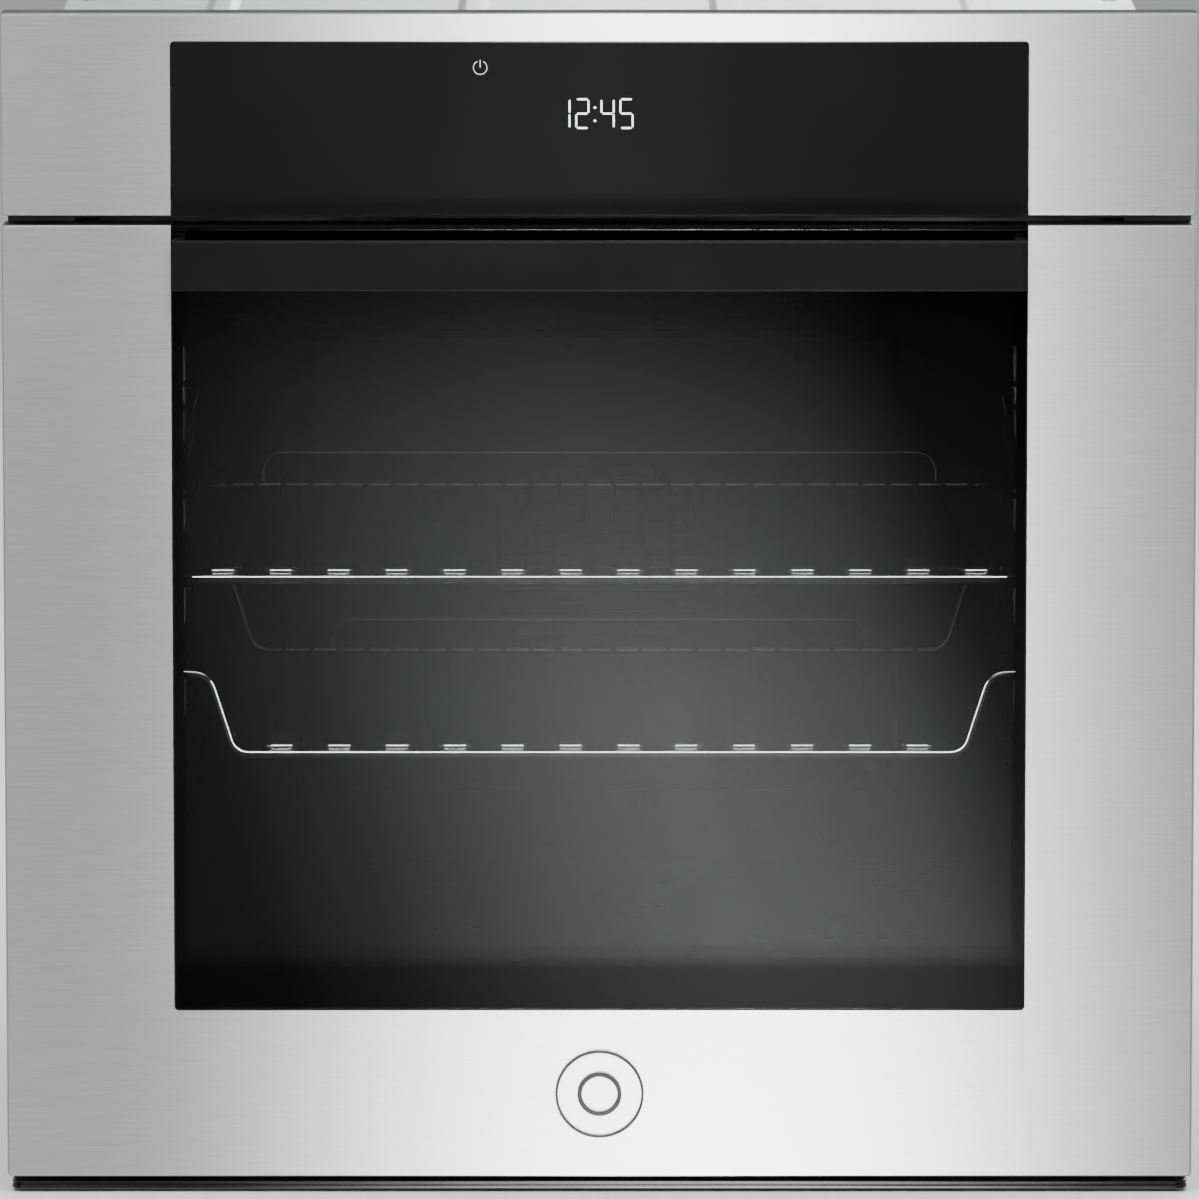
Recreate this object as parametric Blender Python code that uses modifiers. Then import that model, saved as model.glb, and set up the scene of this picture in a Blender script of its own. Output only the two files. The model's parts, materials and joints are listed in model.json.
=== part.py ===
"""Built-in electric wall oven of the 60 cm class: chassis, cavity, fans, controls, drop-down door and racks.

+X is to the right, +Y into the cabinet and +Z up, so the front faces -Y. The origin is the centre of
the bounding box in plan, at the height of the surface that the skids stand on. All sizes are in metres.
"""

import math

import bmesh
import bpy
from mathutils import Matrix, Vector

# --- driving dimensions -------------------------------------------------------------------------
FRONT_WIDTH = 0.597          # stainless front, control panel and door alike
FRONT_TOP = 0.596            # top edge of the control panel
FRONT_PROUD = 0.022          # stainless front ahead of the cabinet's front plane
HANDLE_PROUD = 0.025         # handle's face ahead of the stainless front
BODY_DEPTH = 0.546           # rear motor cover behind the cabinet's front plane
BODY_WIDTH = 0.556           # casing, which slides into the niche
BODY_TOP = 0.575             # top of the side panels
SHEET = 0.0012               # sheet-metal thickness
GAP = 0.0004                 # air left between pieces that touch

DEPTH = HANDLE_PROUD + FRONT_PROUD + BODY_DEPTH
FRONT = HANDLE_PROUD - DEPTH / 2
NICHE = FRONT + FRONT_PROUD
BACK = DEPTH / 2
CASING_BACK = BACK - 0.0125  # the rear motor cover stands out behind the back panel

# Stainless front: heights of its bands and the width of the black glass between its columns.
DOOR_BOTTOM = 0.0076
DOOR_TOP = 0.4901
FASCIA_BOTTOM = 0.4946
FRONT_RETURN = 0.020         # depth of the folded edges of door and control panel
FRONT_BEND = 0.0030
GLASS_HALF = 0.2139
WINDOW_BOTTOM = 0.0926
FASCIA_GLASS_TOP = 0.5820

# Cavity: inner faces, and the depth range of its box.
CAVITY_HALF = 0.228
CAVITY_FLOOR = 0.092
CAVITY_CEILING = 0.440
CAVITY_CORNER = 0.014
MOUTH = NICHE + 0.026        # front face of the enamelled front frame
CAVITY_FRONT = MOUTH + 0.0018
CAVITY_BACK = NICHE + 0.452
FAN_Z = 0.262
FAN_COVER_FRONT = NICHE + 0.408
ELEMENT_RADIUS = 0.0032
GRILL_Z = 0.420
BOTTOM_ELEMENT_Z = CAVITY_FLOOR - SHEET - ELEMENT_RADIUS - 0.0015
RING_RADIUS = 0.088
LAMP_X, LAMP_Z = -0.190, 0.402
PROBE_X, PROBE_Z = 0.190, 0.405

# Rack levels: the lower rail of each pair on the side ladders.
LEVEL_ONE = 0.1553
LEVEL_PITCH = 0.048
LEVELS = 5
RAIL_PAIR = 0.0125
RAIL_HALF = 0.212            # rails, measured from the middle of the cavity
RAIL_RADIUS = 0.0020
UPRIGHT_HALF = 0.2225

RACK_HALF = 0.2135
RACK_FRONT = NICHE + 0.034
RACK_DEPTH = 0.370
RACK_WIRE = 0.0025           # frame wire radius
GRID_WIRE = 0.0016           # lengthwise wire radius
GRID_PITCH = 0.01465
TRAY_DROP = 0.0416           # how far the lower rack's floor hangs below its rails

# Door hinge axis, parallel to X, and the hinges' distance from the middle.
HINGE_Y = FRONT + 0.0065
HINGE_Z = DOOR_BOTTOM + 0.012
HINGE_X = 0.240
DOOR_THICKNESS = 0.040

BADGE_Z = 0.0500
BADGE_RADIUS = 0.0223

HANDLE_HALF = 0.2125
HANDLE_LOW = 0.4595
HANDLE_HIGH = 0.4848
HANDLE_PLATE = 0.0047

BLOWER_Y = NICHE + 0.330
BLOWER_Z = 0.5245

MATERIALS = {                # base colour, metallic, roughness
    "stainless": ((0.62, 0.62, 0.63), 1.0, 0.32),
    "black_glass": ((0.012, 0.012, 0.013), 0.0, 0.05),
    "clear_glass": ((0.55, 0.58, 0.58), 0.0, 0.04),
    "black_metal": ((0.015, 0.015, 0.016), 0.6, 0.35),
    "enamel": ((0.035, 0.036, 0.040), 0.0, 0.25),
    "chrome_wire": ((0.75, 0.75, 0.76), 1.0, 0.15),
    "galvanised": ((0.55, 0.57, 0.58), 1.0, 0.45),
    "bright_trim": ((0.70, 0.70, 0.71), 1.0, 0.20),
    "heater": ((0.16, 0.15, 0.15), 0.8, 0.5),
    "gasket": ((0.03, 0.03, 0.03), 0.0, 0.8),
    "insulation": ((0.72, 0.66, 0.48), 0.0, 0.95),
    "circuit_board": ((0.02, 0.16, 0.07), 0.0, 0.5),
    "plastic": ((0.04, 0.04, 0.045), 0.0, 0.5),
    "motor": ((0.25, 0.25, 0.26), 0.8, 0.4),
    "ceramic": ((0.85, 0.84, 0.80), 0.0, 0.6),
    "spring_steel": ((0.45, 0.45, 0.46), 1.0, 0.3),
}
LEFT, RIGHT = -1, 1
SIDES = {LEFT: "left", RIGHT: "right"}
ALONG = {                    # local axes of an outline to the world, by the axis it is extruded along
    "X": Matrix(((0, 0, 1, 0), (1, 0, 0, 0), (0, 1, 0, 0), (0, 0, 0, 1))),
    "Y": Matrix(((1, 0, 0, 0), (0, 0, -1, 0), (0, 1, 0, 0), (0, 0, 0, 1))),
    "Z": Matrix.Identity(4),
}


# --- scene and modelling helpers ----------------------------------------------------------------
def clear_scene():
    for obj in list(bpy.data.objects):
        bpy.data.objects.remove(obj, do_unlink=True)


def collection(name):
    made = bpy.data.collections.new(name)
    bpy.context.scene.collection.children.link(made)
    return made


def material(name):
    found = bpy.data.materials.get(name)
    if found:
        return found
    colour, metallic, roughness = MATERIALS[name]
    made = bpy.data.materials.new(name)
    made.use_nodes = True
    shader = made.node_tree.nodes["Principled BSDF"]
    shader.inputs["Base Color"].default_value = (*colour, 1.0)
    shader.inputs["Metallic"].default_value = metallic
    shader.inputs["Roughness"].default_value = roughness
    made.diffuse_color = (*colour, 1.0)
    return made


def add(name, data, look=None, matrix=None):
    """A new object in the oven's collection, or among the cutters where it has no look."""
    obj = bpy.data.objects.new(name, data)
    (PARTS if look else CUTTERS).objects.link(obj)
    if matrix is not None:
        obj.matrix_world = matrix
    if look:
        data.materials.append(material(look))
    else:
        obj.hide_render = True
        obj.display_type = "WIRE"
    return obj


def mesh_from(name, build):
    """A mesh filled by build(bm)."""
    bm = bmesh.new()
    build(bm)
    mesh = bpy.data.meshes.new(name)
    bm.to_mesh(mesh)
    bm.free()
    return mesh


def cube_between(bm, low, high):
    low, high = Vector(low), Vector(high)
    place = Matrix.Translation((low + high) / 2) @ Matrix.Diagonal((*(high - low), 1.0))
    bmesh.ops.create_cube(bm, size=1.0, matrix=place)


def bevel(obj, width, segments=2):
    modifier = obj.modifiers.new("bevel", "BEVEL")
    modifier.width = width
    modifier.segments = segments
    modifier.limit_method = "ANGLE"


def box(name, low, high, look=None, round_edges=0.0):
    obj = add(name, mesh_from(name, lambda bm: cube_between(bm, low, high)), look)
    if round_edges:
        bevel(obj, round_edges)
    return obj


def open_box(name, low, high, open_sides, look, thickness=SHEET, bend=0.0):
    """A folded sheet: a box without the sides named, such as "+Y", and with its wall inside the box."""
    def build(bm):
        cube_between(bm, low, high)
        doomed = []
        for face in bm.faces:
            face.normal_update()
            letter = max(range(3), key=lambda i: abs(face.normal[i]))
            side = ("+" if face.normal[letter] > 0 else "-") + "XYZ"[letter]
            if side in open_sides:
                doomed.append(face)
        bmesh.ops.delete(bm, geom=doomed, context="FACES")

    obj = add(name, mesh_from(name, build), look)
    if bend:
        bevel(obj, bend)
    wall = obj.modifiers.new("sheet", "SOLIDIFY")
    wall.thickness = thickness
    wall.offset = -1.0
    wall.use_even_offset = True
    return obj


def cylinder(name, centre, radius, length, axis="Y", look=None, sides=24):
    place = Matrix.Translation(centre) @ ALONG[axis]

    def build(bm):
        bmesh.ops.create_cone(bm, cap_ends=True, cap_tris=False, segments=sides, radius1=radius,
                              radius2=radius, depth=length, matrix=place)

    obj = add(name, mesh_from(name, build), look)
    smooth(obj)
    return obj


def smooth(obj):
    obj.data.shade_smooth()
    obj.data.set_sharp_from_angle(angle=math.radians(40))


def poly_curve(name, paths, cyclic, dimensions):
    curve = bpy.data.curves.new(name, "CURVE")
    curve.dimensions = dimensions
    for path in paths:
        spline = curve.splines.new("POLY")
        spline.points.add(len(path) - 1)
        for point, place in zip(spline.points, path):
            point.co = (*place, *([0.0] * (3 - len(place))), 1.0)
        spline.use_cyclic_u = cyclic
    return curve


def extruded(name, outlines, axis, low, high, look=None):
    """A plate or profile with these outlines, the first outside and the rest holes. Outlines are (y, z)
    points along X, (x, z) along Y and (x, y) along Z."""
    curve = poly_curve(name, outlines, True, "2D")
    curve.fill_mode = "BOTH"
    curve.extrude = (high - low) / 2
    middle = Vector([(low + high) / 2 if letter == axis else 0.0 for letter in "XYZ"])
    return add(name, curve, look, Matrix.Translation(middle) @ ALONG[axis])


def tubes(name, paths, radius, look=None, cyclic=False, detail=1):
    """Round bar along each path; detail 0, 1 and 2 give 4, 6 and 8 sides."""
    curve = poly_curve(name, paths, cyclic, "3D")
    curve.bevel_depth = radius
    curve.bevel_resolution = detail
    curve.use_fill_caps = not cyclic
    return add(name, curve, look)


def as_mesh(obj):
    """The same object as a mesh, with the curve's loose caps welded on."""
    bpy.context.view_layer.update()
    evaluated = obj.evaluated_get(bpy.context.evaluated_depsgraph_get())
    mesh = bpy.data.meshes.new_from_object(evaluated)
    bm = bmesh.new()
    bm.from_mesh(mesh)
    bmesh.ops.remove_doubles(bm, verts=bm.verts, dist=1e-6)
    bmesh.ops.recalc_face_normals(bm, faces=bm.faces)
    bm.to_mesh(mesh)
    bm.free()
    name, place, home, hidden = obj.name, obj.matrix_world.copy(), obj.users_collection[0], obj.hide_render
    bpy.data.objects.remove(obj)
    made = bpy.data.objects.new(name, mesh)
    home.objects.link(made)
    made.matrix_world = place
    made.hide_render = hidden
    if hidden:
        made.display_type = "WIRE"
    return made


def boolean(obj, other, operation):
    modifier = obj.modifiers.new(operation.lower(), "BOOLEAN")
    modifier.operation = operation
    modifier.solver = "EXACT"
    modifier.object = other


def cut(obj, *cutters):
    for cutter in cutters:
        boolean(obj, cutter, "DIFFERENCE")


def fuse(obj, *others):
    for other in others:
        boolean(obj, other, "UNION")


def circle(x, z, radius, sides=12):
    turns = [2 * math.pi * i / sides for i in range(sides)]
    return [(x + radius * math.cos(a), z + radius * math.sin(a)) for a in turns]


def rectangle(x0, x1, z0, z1):
    return [(x0, z0), (x1, z0), (x1, z1), (x0, z1)]


def filleted(points, radius, steps=2, closed=False):
    """The path with each corner turned into an arc of steps + 1 points."""
    points = [Vector(p) for p in points]
    count = len(points)
    path = []
    for i, corner in enumerate(points):
        if not closed and i in (0, count - 1):
            path.append(tuple(corner))
            continue
        back = (points[i - 1] - corner).normalized()
        ahead = (points[(i + 1) % count] - corner).normalized()
        half = back.angle(ahead) / 2
        centre = corner + (back + ahead).normalized() * (radius / math.sin(half))
        start = corner + back * (radius / math.tan(half)) - centre
        end = corner + ahead * (radius / math.tan(half)) - centre
        sweep = math.pi - 2 * half
        for k in range(steps + 1):
            share = k / steps
            spoke = start * math.sin((1 - share) * sweep) + end * math.sin(share * sweep)
            path.append(tuple(centre + spoke / math.sin(sweep)))
    return path


def mirrored(path):
    """The path followed by its mirror image in X, in one run."""
    return list(path) + [(-p[0], *p[1:]) for p in reversed(path)]


def pivot(name, place, members):
    """An empty on a joint's axis, with the pieces that move about it."""
    empty = bpy.data.objects.new(name, None)
    PARTS.objects.link(empty)
    empty.location = place
    for obj in members:
        obj.parent = empty
        obj.matrix_parent_inverse = Matrix.Translation(-Vector(place))
    return empty


# --- casing -------------------------------------------------------------------------------------
def casing():
    half = BODY_WIDTH / 2
    floor = 0.0052
    base = open_box("base_plate", (-half + SHEET + GAP, NICHE + 0.0026, floor),
                    (half - SHEET - GAP, CASING_BACK - 0.0016, 0.0252), ("+Z", "-Y"), "galvanised")
    for side in (LEFT, RIGHT):
        low, high = sorted((side * 0.205, side * 0.175))
        fuse(base, box(f"skid_{SIDES[side]}", (low, NICHE + 0.030, 0.0),
                       (high, CASING_BACK - 0.040, floor + 0.0008)))
        low, high = sorted((side * half, side * (half - 0.012)))
        inner = "+X" if side == LEFT else "-X"
        open_box(f"{SIDES[side]}_side_panel", (low, NICHE + 0.0026, floor), (high, CASING_BACK, BODY_TOP),
                 (inner, "-Z", "-Y"), "galvanised")

    slots = [rectangle(-0.20 + i * 0.052, -0.16 + i * 0.052, CASING_BACK - 0.075, CASING_BACK - 0.069)
             for i in range(8)]
    extruded("top_cover", [rectangle(-half + 0.0015, half - 0.0015, NICHE + 0.0026, CASING_BACK), *slots],
             "Z", BODY_TOP + GAP, BODY_TOP + GAP + SHEET, "galvanised")

    motor_hole = rectangle(-0.080, 0.080, FAN_Z - 0.080, FAN_Z + 0.080)
    terminal_hole = rectangle(-0.245, -0.175, 0.505, 0.545)
    rear_slots = [rectangle(0.06 + i * 0.03, 0.08 + i * 0.03, 0.470, 0.530) for i in range(5)]
    extruded("back_panel", [rectangle(-half + 0.001, half - 0.001, 0.006, BODY_TOP - 0.001), motor_hole,
                            terminal_hole, *rear_slots],
             "Y", CASING_BACK + GAP, CASING_BACK + GAP + SHEET, "galvanised")
    open_box("rear_motor_cover", (-0.110, CASING_BACK + 2 * GAP + SHEET, FAN_Z - 0.110),
             (0.110, BACK, FAN_Z + 0.110), ("-Y",), "galvanised", bend=0.003)


def front_frame():
    """The flange that is screwed to the cabinet's front edges, and the trim below the door."""
    holes = [circle(side * 0.288, z, 0.0025, 8) for side in (LEFT, RIGHT) for z in (0.150, 0.450)]
    outlets = [rectangle(-0.245 + i * 0.0625, -0.195 + i * 0.0625, 0.4945, 0.5005) for i in range(8)]
    door_opening = rectangle(-0.2625, 0.2625, 0.0095, 0.4915)
    panel_opening = rectangle(-0.225, 0.225, 0.507, 0.573)
    sheet = rectangle(-0.296, 0.296, 0.0056, 0.5935)
    extruded("front_frame", [sheet, door_opening, panel_opening, *holes, *outlets],
             "Y", NICHE - 0.0015, NICHE, "galvanised")
    low, high, face = 0.0008, 0.0052, FRONT + 0.0020
    profile = [(face, low), (face, 0.0028), (face + 0.0010, 0.0030), (face + 0.0010, 0.0034),
               (face + 0.0004, 0.0036), (face + 0.0012, high), (NICHE - 0.0019, high), (NICHE - 0.0019, low)]
    extruded("bottom_trim", [profile], "X", -0.2965, 0.2965, "bright_trim")


# --- cavity -------------------------------------------------------------------------------------
def cavity_outline(grow):
    half = CAVITY_HALF + grow
    corners = [(-half, CAVITY_FLOOR - grow, 0), (half, CAVITY_FLOOR - grow, 0),
               (half, CAVITY_CEILING + grow, 0), (-half, CAVITY_CEILING + grow, 0)]
    return [point[:2] for point in filleted(corners, CAVITY_CORNER + grow, 3, closed=True)]


def cavity():
    inner = cavity_outline(0.0)
    extruded("cavity_front_frame", [rectangle(-0.2755, 0.2755, 0.0275, 0.4720), inner],
             "Y", MOUTH, MOUTH + 0.0015, "enamel")
    extruded("cavity_wrap", [cavity_outline(SHEET), inner], "Y", CAVITY_FRONT, CAVITY_BACK, "enamel")

    half = CAVITY_HALF + SHEET
    ring_holes = [circle(x, FAN_Z - RING_RADIUS, 0.0050, 8) for x in (-0.014, 0.014)]
    grill_holes = [circle(x, GRILL_Z, 0.0050, 8) for x in (-0.030, 0.030)]
    others = [circle(0, FAN_Z, 0.008), circle(LAMP_X, LAMP_Z, 0.019, 16),
              circle(PROBE_X, PROBE_Z, 0.0034, 8)]
    extruded("cavity_back", [rectangle(-half, half, CAVITY_FLOOR - SHEET, CAVITY_CEILING + SHEET),
                             *ring_holes, *grill_holes, *others],
             "Y", CAVITY_BACK + GAP, CAVITY_BACK + GAP + SHEET, "enamel")

    half = CAVITY_HALF + 0.0025
    wrap_in = rectangle(-half, half, CAVITY_FLOOR - 0.0160, CAVITY_CEILING + 0.0025)
    wrap_out = rectangle(-0.256, 0.256, 0.052, 0.466)
    extruded("insulation_wrap", [wrap_out, wrap_in], "Y", MOUTH + 0.0025, CAVITY_BACK, "insulation")
    bottom_holes = [circle(x, BOTTOM_ELEMENT_Z, 0.0050, 8) for x in (-0.025, 0.025)]
    service_holes = [circle(0, FAN_Z, 0.030), circle(LAMP_X, LAMP_Z, 0.021, 16),
                     circle(PROBE_X, PROBE_Z, 0.006, 8)]
    extruded("insulation_back", [rectangle(-0.250, 0.250, 0.056, 0.462), *service_holes, *bottom_holes,
                                 *ring_holes, *grill_holes],
             "Y", CAVITY_BACK + 0.002, CAVITY_BACK + 0.024, "insulation")

    gasket_y = (FRONT + DOOR_THICKNESS + MOUTH) / 2
    gasket_radius = (MOUTH - FRONT - DOOR_THICKNESS) / 2 - GAP
    edge = 0.0095
    half = CAVITY_HALF + edge
    loop = [(-half, gasket_y, CAVITY_FLOOR - edge), (half, gasket_y, CAVITY_FLOOR - edge),
            (half, gasket_y, CAVITY_CEILING + edge), (-half, gasket_y, CAVITY_CEILING + edge)]
    tubes("door_gasket", [filleted(loop, 0.020, 3, closed=True)], gasket_radius, "gasket", cyclic=True)


def heaters():
    tail = CAVITY_BACK + 0.020
    radius = ELEMENT_RADIUS
    near, far = NICHE + 0.100, NICHE + 0.350
    high, inner = GRILL_Z, near + 0.050
    half = filleted([(-0.030, tail, high), (-0.030, inner, high), (-0.080, inner, high), (-0.080, far, high),
                     (-0.130, far, high), (-0.130, near, high), (0, near, high)], 0.020)
    tubes("grill_element", [mirrored(half[:-1])], radius, "heater")

    low = BOTTOM_ELEMENT_Z
    half = filleted([(-0.025, tail, low), (-0.025, far, low), (-0.150, far, low), (-0.150, near, low),
                     (-0.060, near, low), (-0.060, far - 0.060, low), (0, far - 0.060, low)], 0.020)
    tubes("bottom_element", [mirrored(half[:-1])], radius, "heater")

    ring_y = CAVITY_BACK - 0.022
    start = math.asin(0.014 / RING_RADIUS)
    turns = [start + (2 * math.pi - 2 * start) * i / 28 for i in range(29)]
    ring = [(-RING_RADIUS * math.sin(a), ring_y, FAN_Z - RING_RADIUS * math.cos(a)) for a in turns]
    ring_low = ring[0][2]
    ends = [[(side * 0.014, tail, ring_low), (side * 0.014, ring_y + 0.008, ring_low)] for side in SIDES]
    tubes("ring_element", [ends[0] + ring + ends[1][::-1]], radius, "heater")


def fan_group():
    """The convection fan with its shaft, motor and the pierced cover in front of it."""
    cover = open_box("fan_cover", (-0.160, FAN_COVER_FRONT, FAN_Z - 0.125),
                     (0.160, CAVITY_BACK - GAP, FAN_Z + 0.125), ("+Y",), "enamel", bend=0.006)
    inlet = 0.056
    for i in range(-4, 5):
        z = FAN_Z + i * 0.012
        half = math.sqrt(inlet ** 2 - (i * 0.012) ** 2)
        cut(cover, box(f"inlet_{i + 5}", (-half, FAN_COVER_FRONT - 0.01, z - 0.003),
                       (half, FAN_COVER_FRONT + 0.01, z + 0.003)))
    for side in (LEFT, RIGHT):
        for i in range(5):
            z = FAN_Z - 0.090 + i * 0.040
            cut(cover, box(f"outlet_{SIDES[side]}_{i + 1}",
                           (side * 0.160 - 0.01, FAN_COVER_FRONT + 0.012, z),
                           (side * 0.160 + 0.01, CAVITY_BACK - 0.010, z + 0.020)))

    disc_y = CAVITY_BACK - 0.012
    fan = cylinder("convection_fan", (0, disc_y, FAN_Z), 0.074, 0.0016, "Y", "galvanised", 32)
    fuse(fan, cylinder("fan_hub", (0, disc_y - 0.004, FAN_Z), 0.012, 0.020, "Y", sides=12))
    fuse(fan, cylinder("fan_shaft", (0, disc_y + 0.032, FAN_Z), 0.0040, 0.070, "Y", sides=12))

    def blades(bm):
        for i in range(10):
            turn = Matrix.Rotation(2 * math.pi * i / 10, 4, "Y")
            lean = Matrix.Translation((0.058, 0, 0)) @ Matrix.Rotation(math.radians(25), 4, "Y")
            size = Matrix.Diagonal((0.028, 0.0240, 0.0016, 1.0))
            place = Matrix.Translation((0, disc_y - 0.0125, FAN_Z)) @ turn @ lean @ size
            bmesh.ops.create_cube(bm, size=1.0, matrix=place)

    fuse(fan, add("fan_blades", mesh_from("fan_blades", blades)))
    pivot("fan_axis", (0, disc_y, FAN_Z), [fan])

    motor = cylinder("fan_motor", (0, CASING_BACK - 0.030, FAN_Z), 0.036, 0.040, "Y", "motor", 20)
    cut(motor, cylinder("motor_bore", (0, CASING_BACK - 0.030, FAN_Z), 0.0050, 0.060, "Y", sides=12))


def lamp():
    def at(back):
        return LAMP_X, CAVITY_BACK + back, LAMP_Z

    socket = cylinder("lamp_socket", at(0.022), 0.0175, 0.036, "Y", "ceramic", 16)
    cut(socket, cylinder("lamp_well", at(0.008), 0.0120, 0.030, "Y", sides=16))
    cylinder("lamp_bulb", at(0.004), 0.0085, 0.034, "Y", "clear_glass", 12)
    lens = cylinder("lamp_lens", at(-0.0100), 0.0230, 0.0190, "Y", "clear_glass", 20)
    bevel(lens, 0.003)
    cut(lens, cylinder("lens_hollow", at(-0.0050), 0.0200, 0.0240, "Y", sides=20))


def probe():
    ends = [(PROBE_X, CAVITY_BACK + y, PROBE_Z) for y in (-0.060, 0.014)]
    tubes("temperature_probe", [ends], 0.0024, "bright_trim")


def ladders():
    """Side ladders: five pairs of rails whose ends turn out to two uprights."""
    near, far = NICHE + 0.052, NICHE + 0.398
    turn = 0.016
    for side in (LEFT, RIGHT):
        rails = []
        for level in range(LEVELS):
            for z in (LEVEL_ONE + level * LEVEL_PITCH, LEVEL_ONE + level * LEVEL_PITCH + RAIL_PAIR):
                rails.append([(side * UPRIGHT_HALF, near, z), (side * RAIL_HALF, near + turn, z),
                              (side * RAIL_HALF, far - turn, z), (side * UPRIGHT_HALF, far, z)])
        low, high = LEVEL_ONE - 0.020, LEVEL_ONE + (LEVELS - 1) * LEVEL_PITCH + RAIL_PAIR + 0.020
        uprights = [[(side * UPRIGHT_HALF, y, low), (side * UPRIGHT_HALF, y, high)] for y in (near, far)]
        foot = [(side * UPRIGHT_HALF, near, low + 0.004), (side * UPRIGHT_HALF, far, low + 0.004)]
        name = SIDES[side]
        ladder = as_mesh(tubes(f"{name}_ladder", [uprights[0]], 0.0024, "chrome_wire"))
        fuse(ladder, as_mesh(tubes(f"{name}_rails", rails, RAIL_RADIUS, detail=0)))
        fuse(ladder, as_mesh(tubes(f"{name}_rear_upright", [uprights[1]], 0.0024)))
        fuse(ladder, as_mesh(tubes(f"{name}_foot_rail", [foot], 0.0018, detail=0)))


# --- racks --------------------------------------------------------------------------------------
def hairpins(count, z):
    """Lengthwise wires of a rack, in pairs joined by a bend at the front."""
    near, far = RACK_FRONT + 0.0012, RACK_FRONT + RACK_DEPTH + 0.0010
    paths = []
    for i in range(count):
        middle = (2 * i - count + 1) * GRID_PITCH
        legs = (middle - GRID_PITCH / 2, middle + GRID_PITCH / 2)
        paths.append([(legs[0], far, z), (legs[0], near + 0.0022, z), (legs[0] + 0.0022, near, z),
                      (legs[1] - 0.0022, near, z), (legs[1], near + 0.0022, z), (legs[1], far, z)])
    return paths


def guard(half, z, height):
    """The raised rail at a rack's back, which stops a dish from sliding off."""
    y = RACK_FRONT + RACK_DEPTH
    low, high = z - 0.001, z + height
    return filleted([(-half, y, low), (-half, y, high), (half, y, high), (half, y, low)], 0.010)


def upper_rack(z):
    far = RACK_FRONT + RACK_DEPTH
    frame = filleted([(-RACK_HALF, RACK_FRONT, z), (RACK_HALF, RACK_FRONT, z), (RACK_HALF, far, z),
                      (-RACK_HALF, far, z)], 0.012, closed=True)
    rack = as_mesh(tubes("upper_rack", [frame], RACK_WIRE, "chrome_wire", cyclic=True))
    fuse(rack, as_mesh(tubes("upper_guard", [guard(0.180, z, 0.0177)], 0.0016)))
    fuse(rack, as_mesh(tubes("upper_grid", hairpins(14, z + RACK_WIRE + 0.0009), GRID_WIRE, detail=0)))
    return rack


def lower_rack(z):
    """A rack whose floor hangs below its side rails on two shaped wires."""
    floor = z - TRAY_DROP
    rack = None
    for y in (RACK_FRONT, RACK_FRONT + RACK_DEPTH):
        half = filleted([(-RACK_HALF, y, z), (-0.2000, y, z), (-0.1800, y, floor), (0, y, floor)], 0.010)
        wire = tubes(f"lower_wire_{y:.2f}" if rack else "lower_rack", [mirrored(half[:-1])], RACK_WIRE,
                     None if rack else "chrome_wire")
        if rack is None:
            rack = as_mesh(wire)
        else:
            fuse(rack, as_mesh(wire))
    ends = (RACK_FRONT - 0.0010, RACK_FRONT + RACK_DEPTH + 0.0010)
    rails = [[(side * RACK_HALF, ends[0], z), (side * RACK_HALF, ends[1], z)] for side in (LEFT, RIGHT)]
    fuse(rack, as_mesh(tubes("lower_rails", rails, RACK_WIRE)))
    fuse(rack, as_mesh(tubes("lower_grid", hairpins(12, floor + RACK_WIRE + 0.0009), GRID_WIRE, detail=0)))
    fuse(rack, as_mesh(tubes("lower_guard", [guard(0.143, floor, 0.0165)], 0.0016)))
    return rack


def racks():
    rest = RAIL_RADIUS + RACK_WIRE + GAP - 0.0001
    top = LEVEL_ONE + 3 * LEVEL_PITCH + rest
    middle = LEVEL_ONE + 2 * LEVEL_PITCH + rest
    pivot("upper_rack_slide", (0, RACK_FRONT, top), [upper_rack(top)])
    pivot("lower_rack_slide", (0, RACK_FRONT, middle), [lower_rack(middle)])


# --- cooling channel above the cavity -----------------------------------------------------------
def cooling():
    box("air_duct_plate", (-0.255, MOUTH + 0.0025, 0.4780), (0.255, CASING_BACK - 0.020, 0.4792),
        "galvanised")
    inner, outer = 0.0350, 0.0362
    turns = [math.radians(-20 + 250 * i / 14) for i in range(15)]
    band = [(BLOWER_Y + outer * math.cos(a), BLOWER_Z + outer * math.sin(a)) for a in turns]
    band += [(BLOWER_Y + inner * math.cos(a), BLOWER_Z + inner * math.sin(a)) for a in reversed(turns)]
    extruded("blower_housing", [band], "X", -0.108, 0.108, "galvanised")

    wheel = cylinder("blower_wheel", (-0.1000, BLOWER_Y, BLOWER_Z), 0.0300, 0.0012, "X", "galvanised", 20)
    fuse(wheel, cylinder("wheel_disc", (0.1000, BLOWER_Y, BLOWER_Z), 0.0300, 0.0012, "X", sides=20))

    def vanes(bm):
        for i in range(14):
            turn = Matrix.Rotation(2 * math.pi * i / 14, 4, "X")
            lean = Matrix.Translation((0, 0, 0.0252)) @ Matrix.Rotation(math.radians(30), 4, "X")
            size = Matrix.Diagonal((0.2002, 0.0010, 0.0080, 1.0))
            place = Matrix.Translation((0, BLOWER_Y, BLOWER_Z)) @ turn @ lean @ size
            bmesh.ops.create_cube(bm, size=1.0, matrix=place)

    fuse(wheel, add("wheel_vanes", mesh_from("wheel_vanes", vanes)))
    fuse(wheel, cylinder("wheel_shaft", (0.1150, BLOWER_Y, BLOWER_Z), 0.0030, 0.0320, "X", sides=10))
    pivot("blower_axis", (0, BLOWER_Y, BLOWER_Z), [wheel])

    motor = cylinder("blower_motor", (0.1280, BLOWER_Y, BLOWER_Z), 0.0260, 0.0300, "X", "motor", 20)
    cut(motor, cylinder("blower_bore", (0.1280, BLOWER_Y, BLOWER_Z), 0.0040, 0.0400, "X", sides=10))


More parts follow.
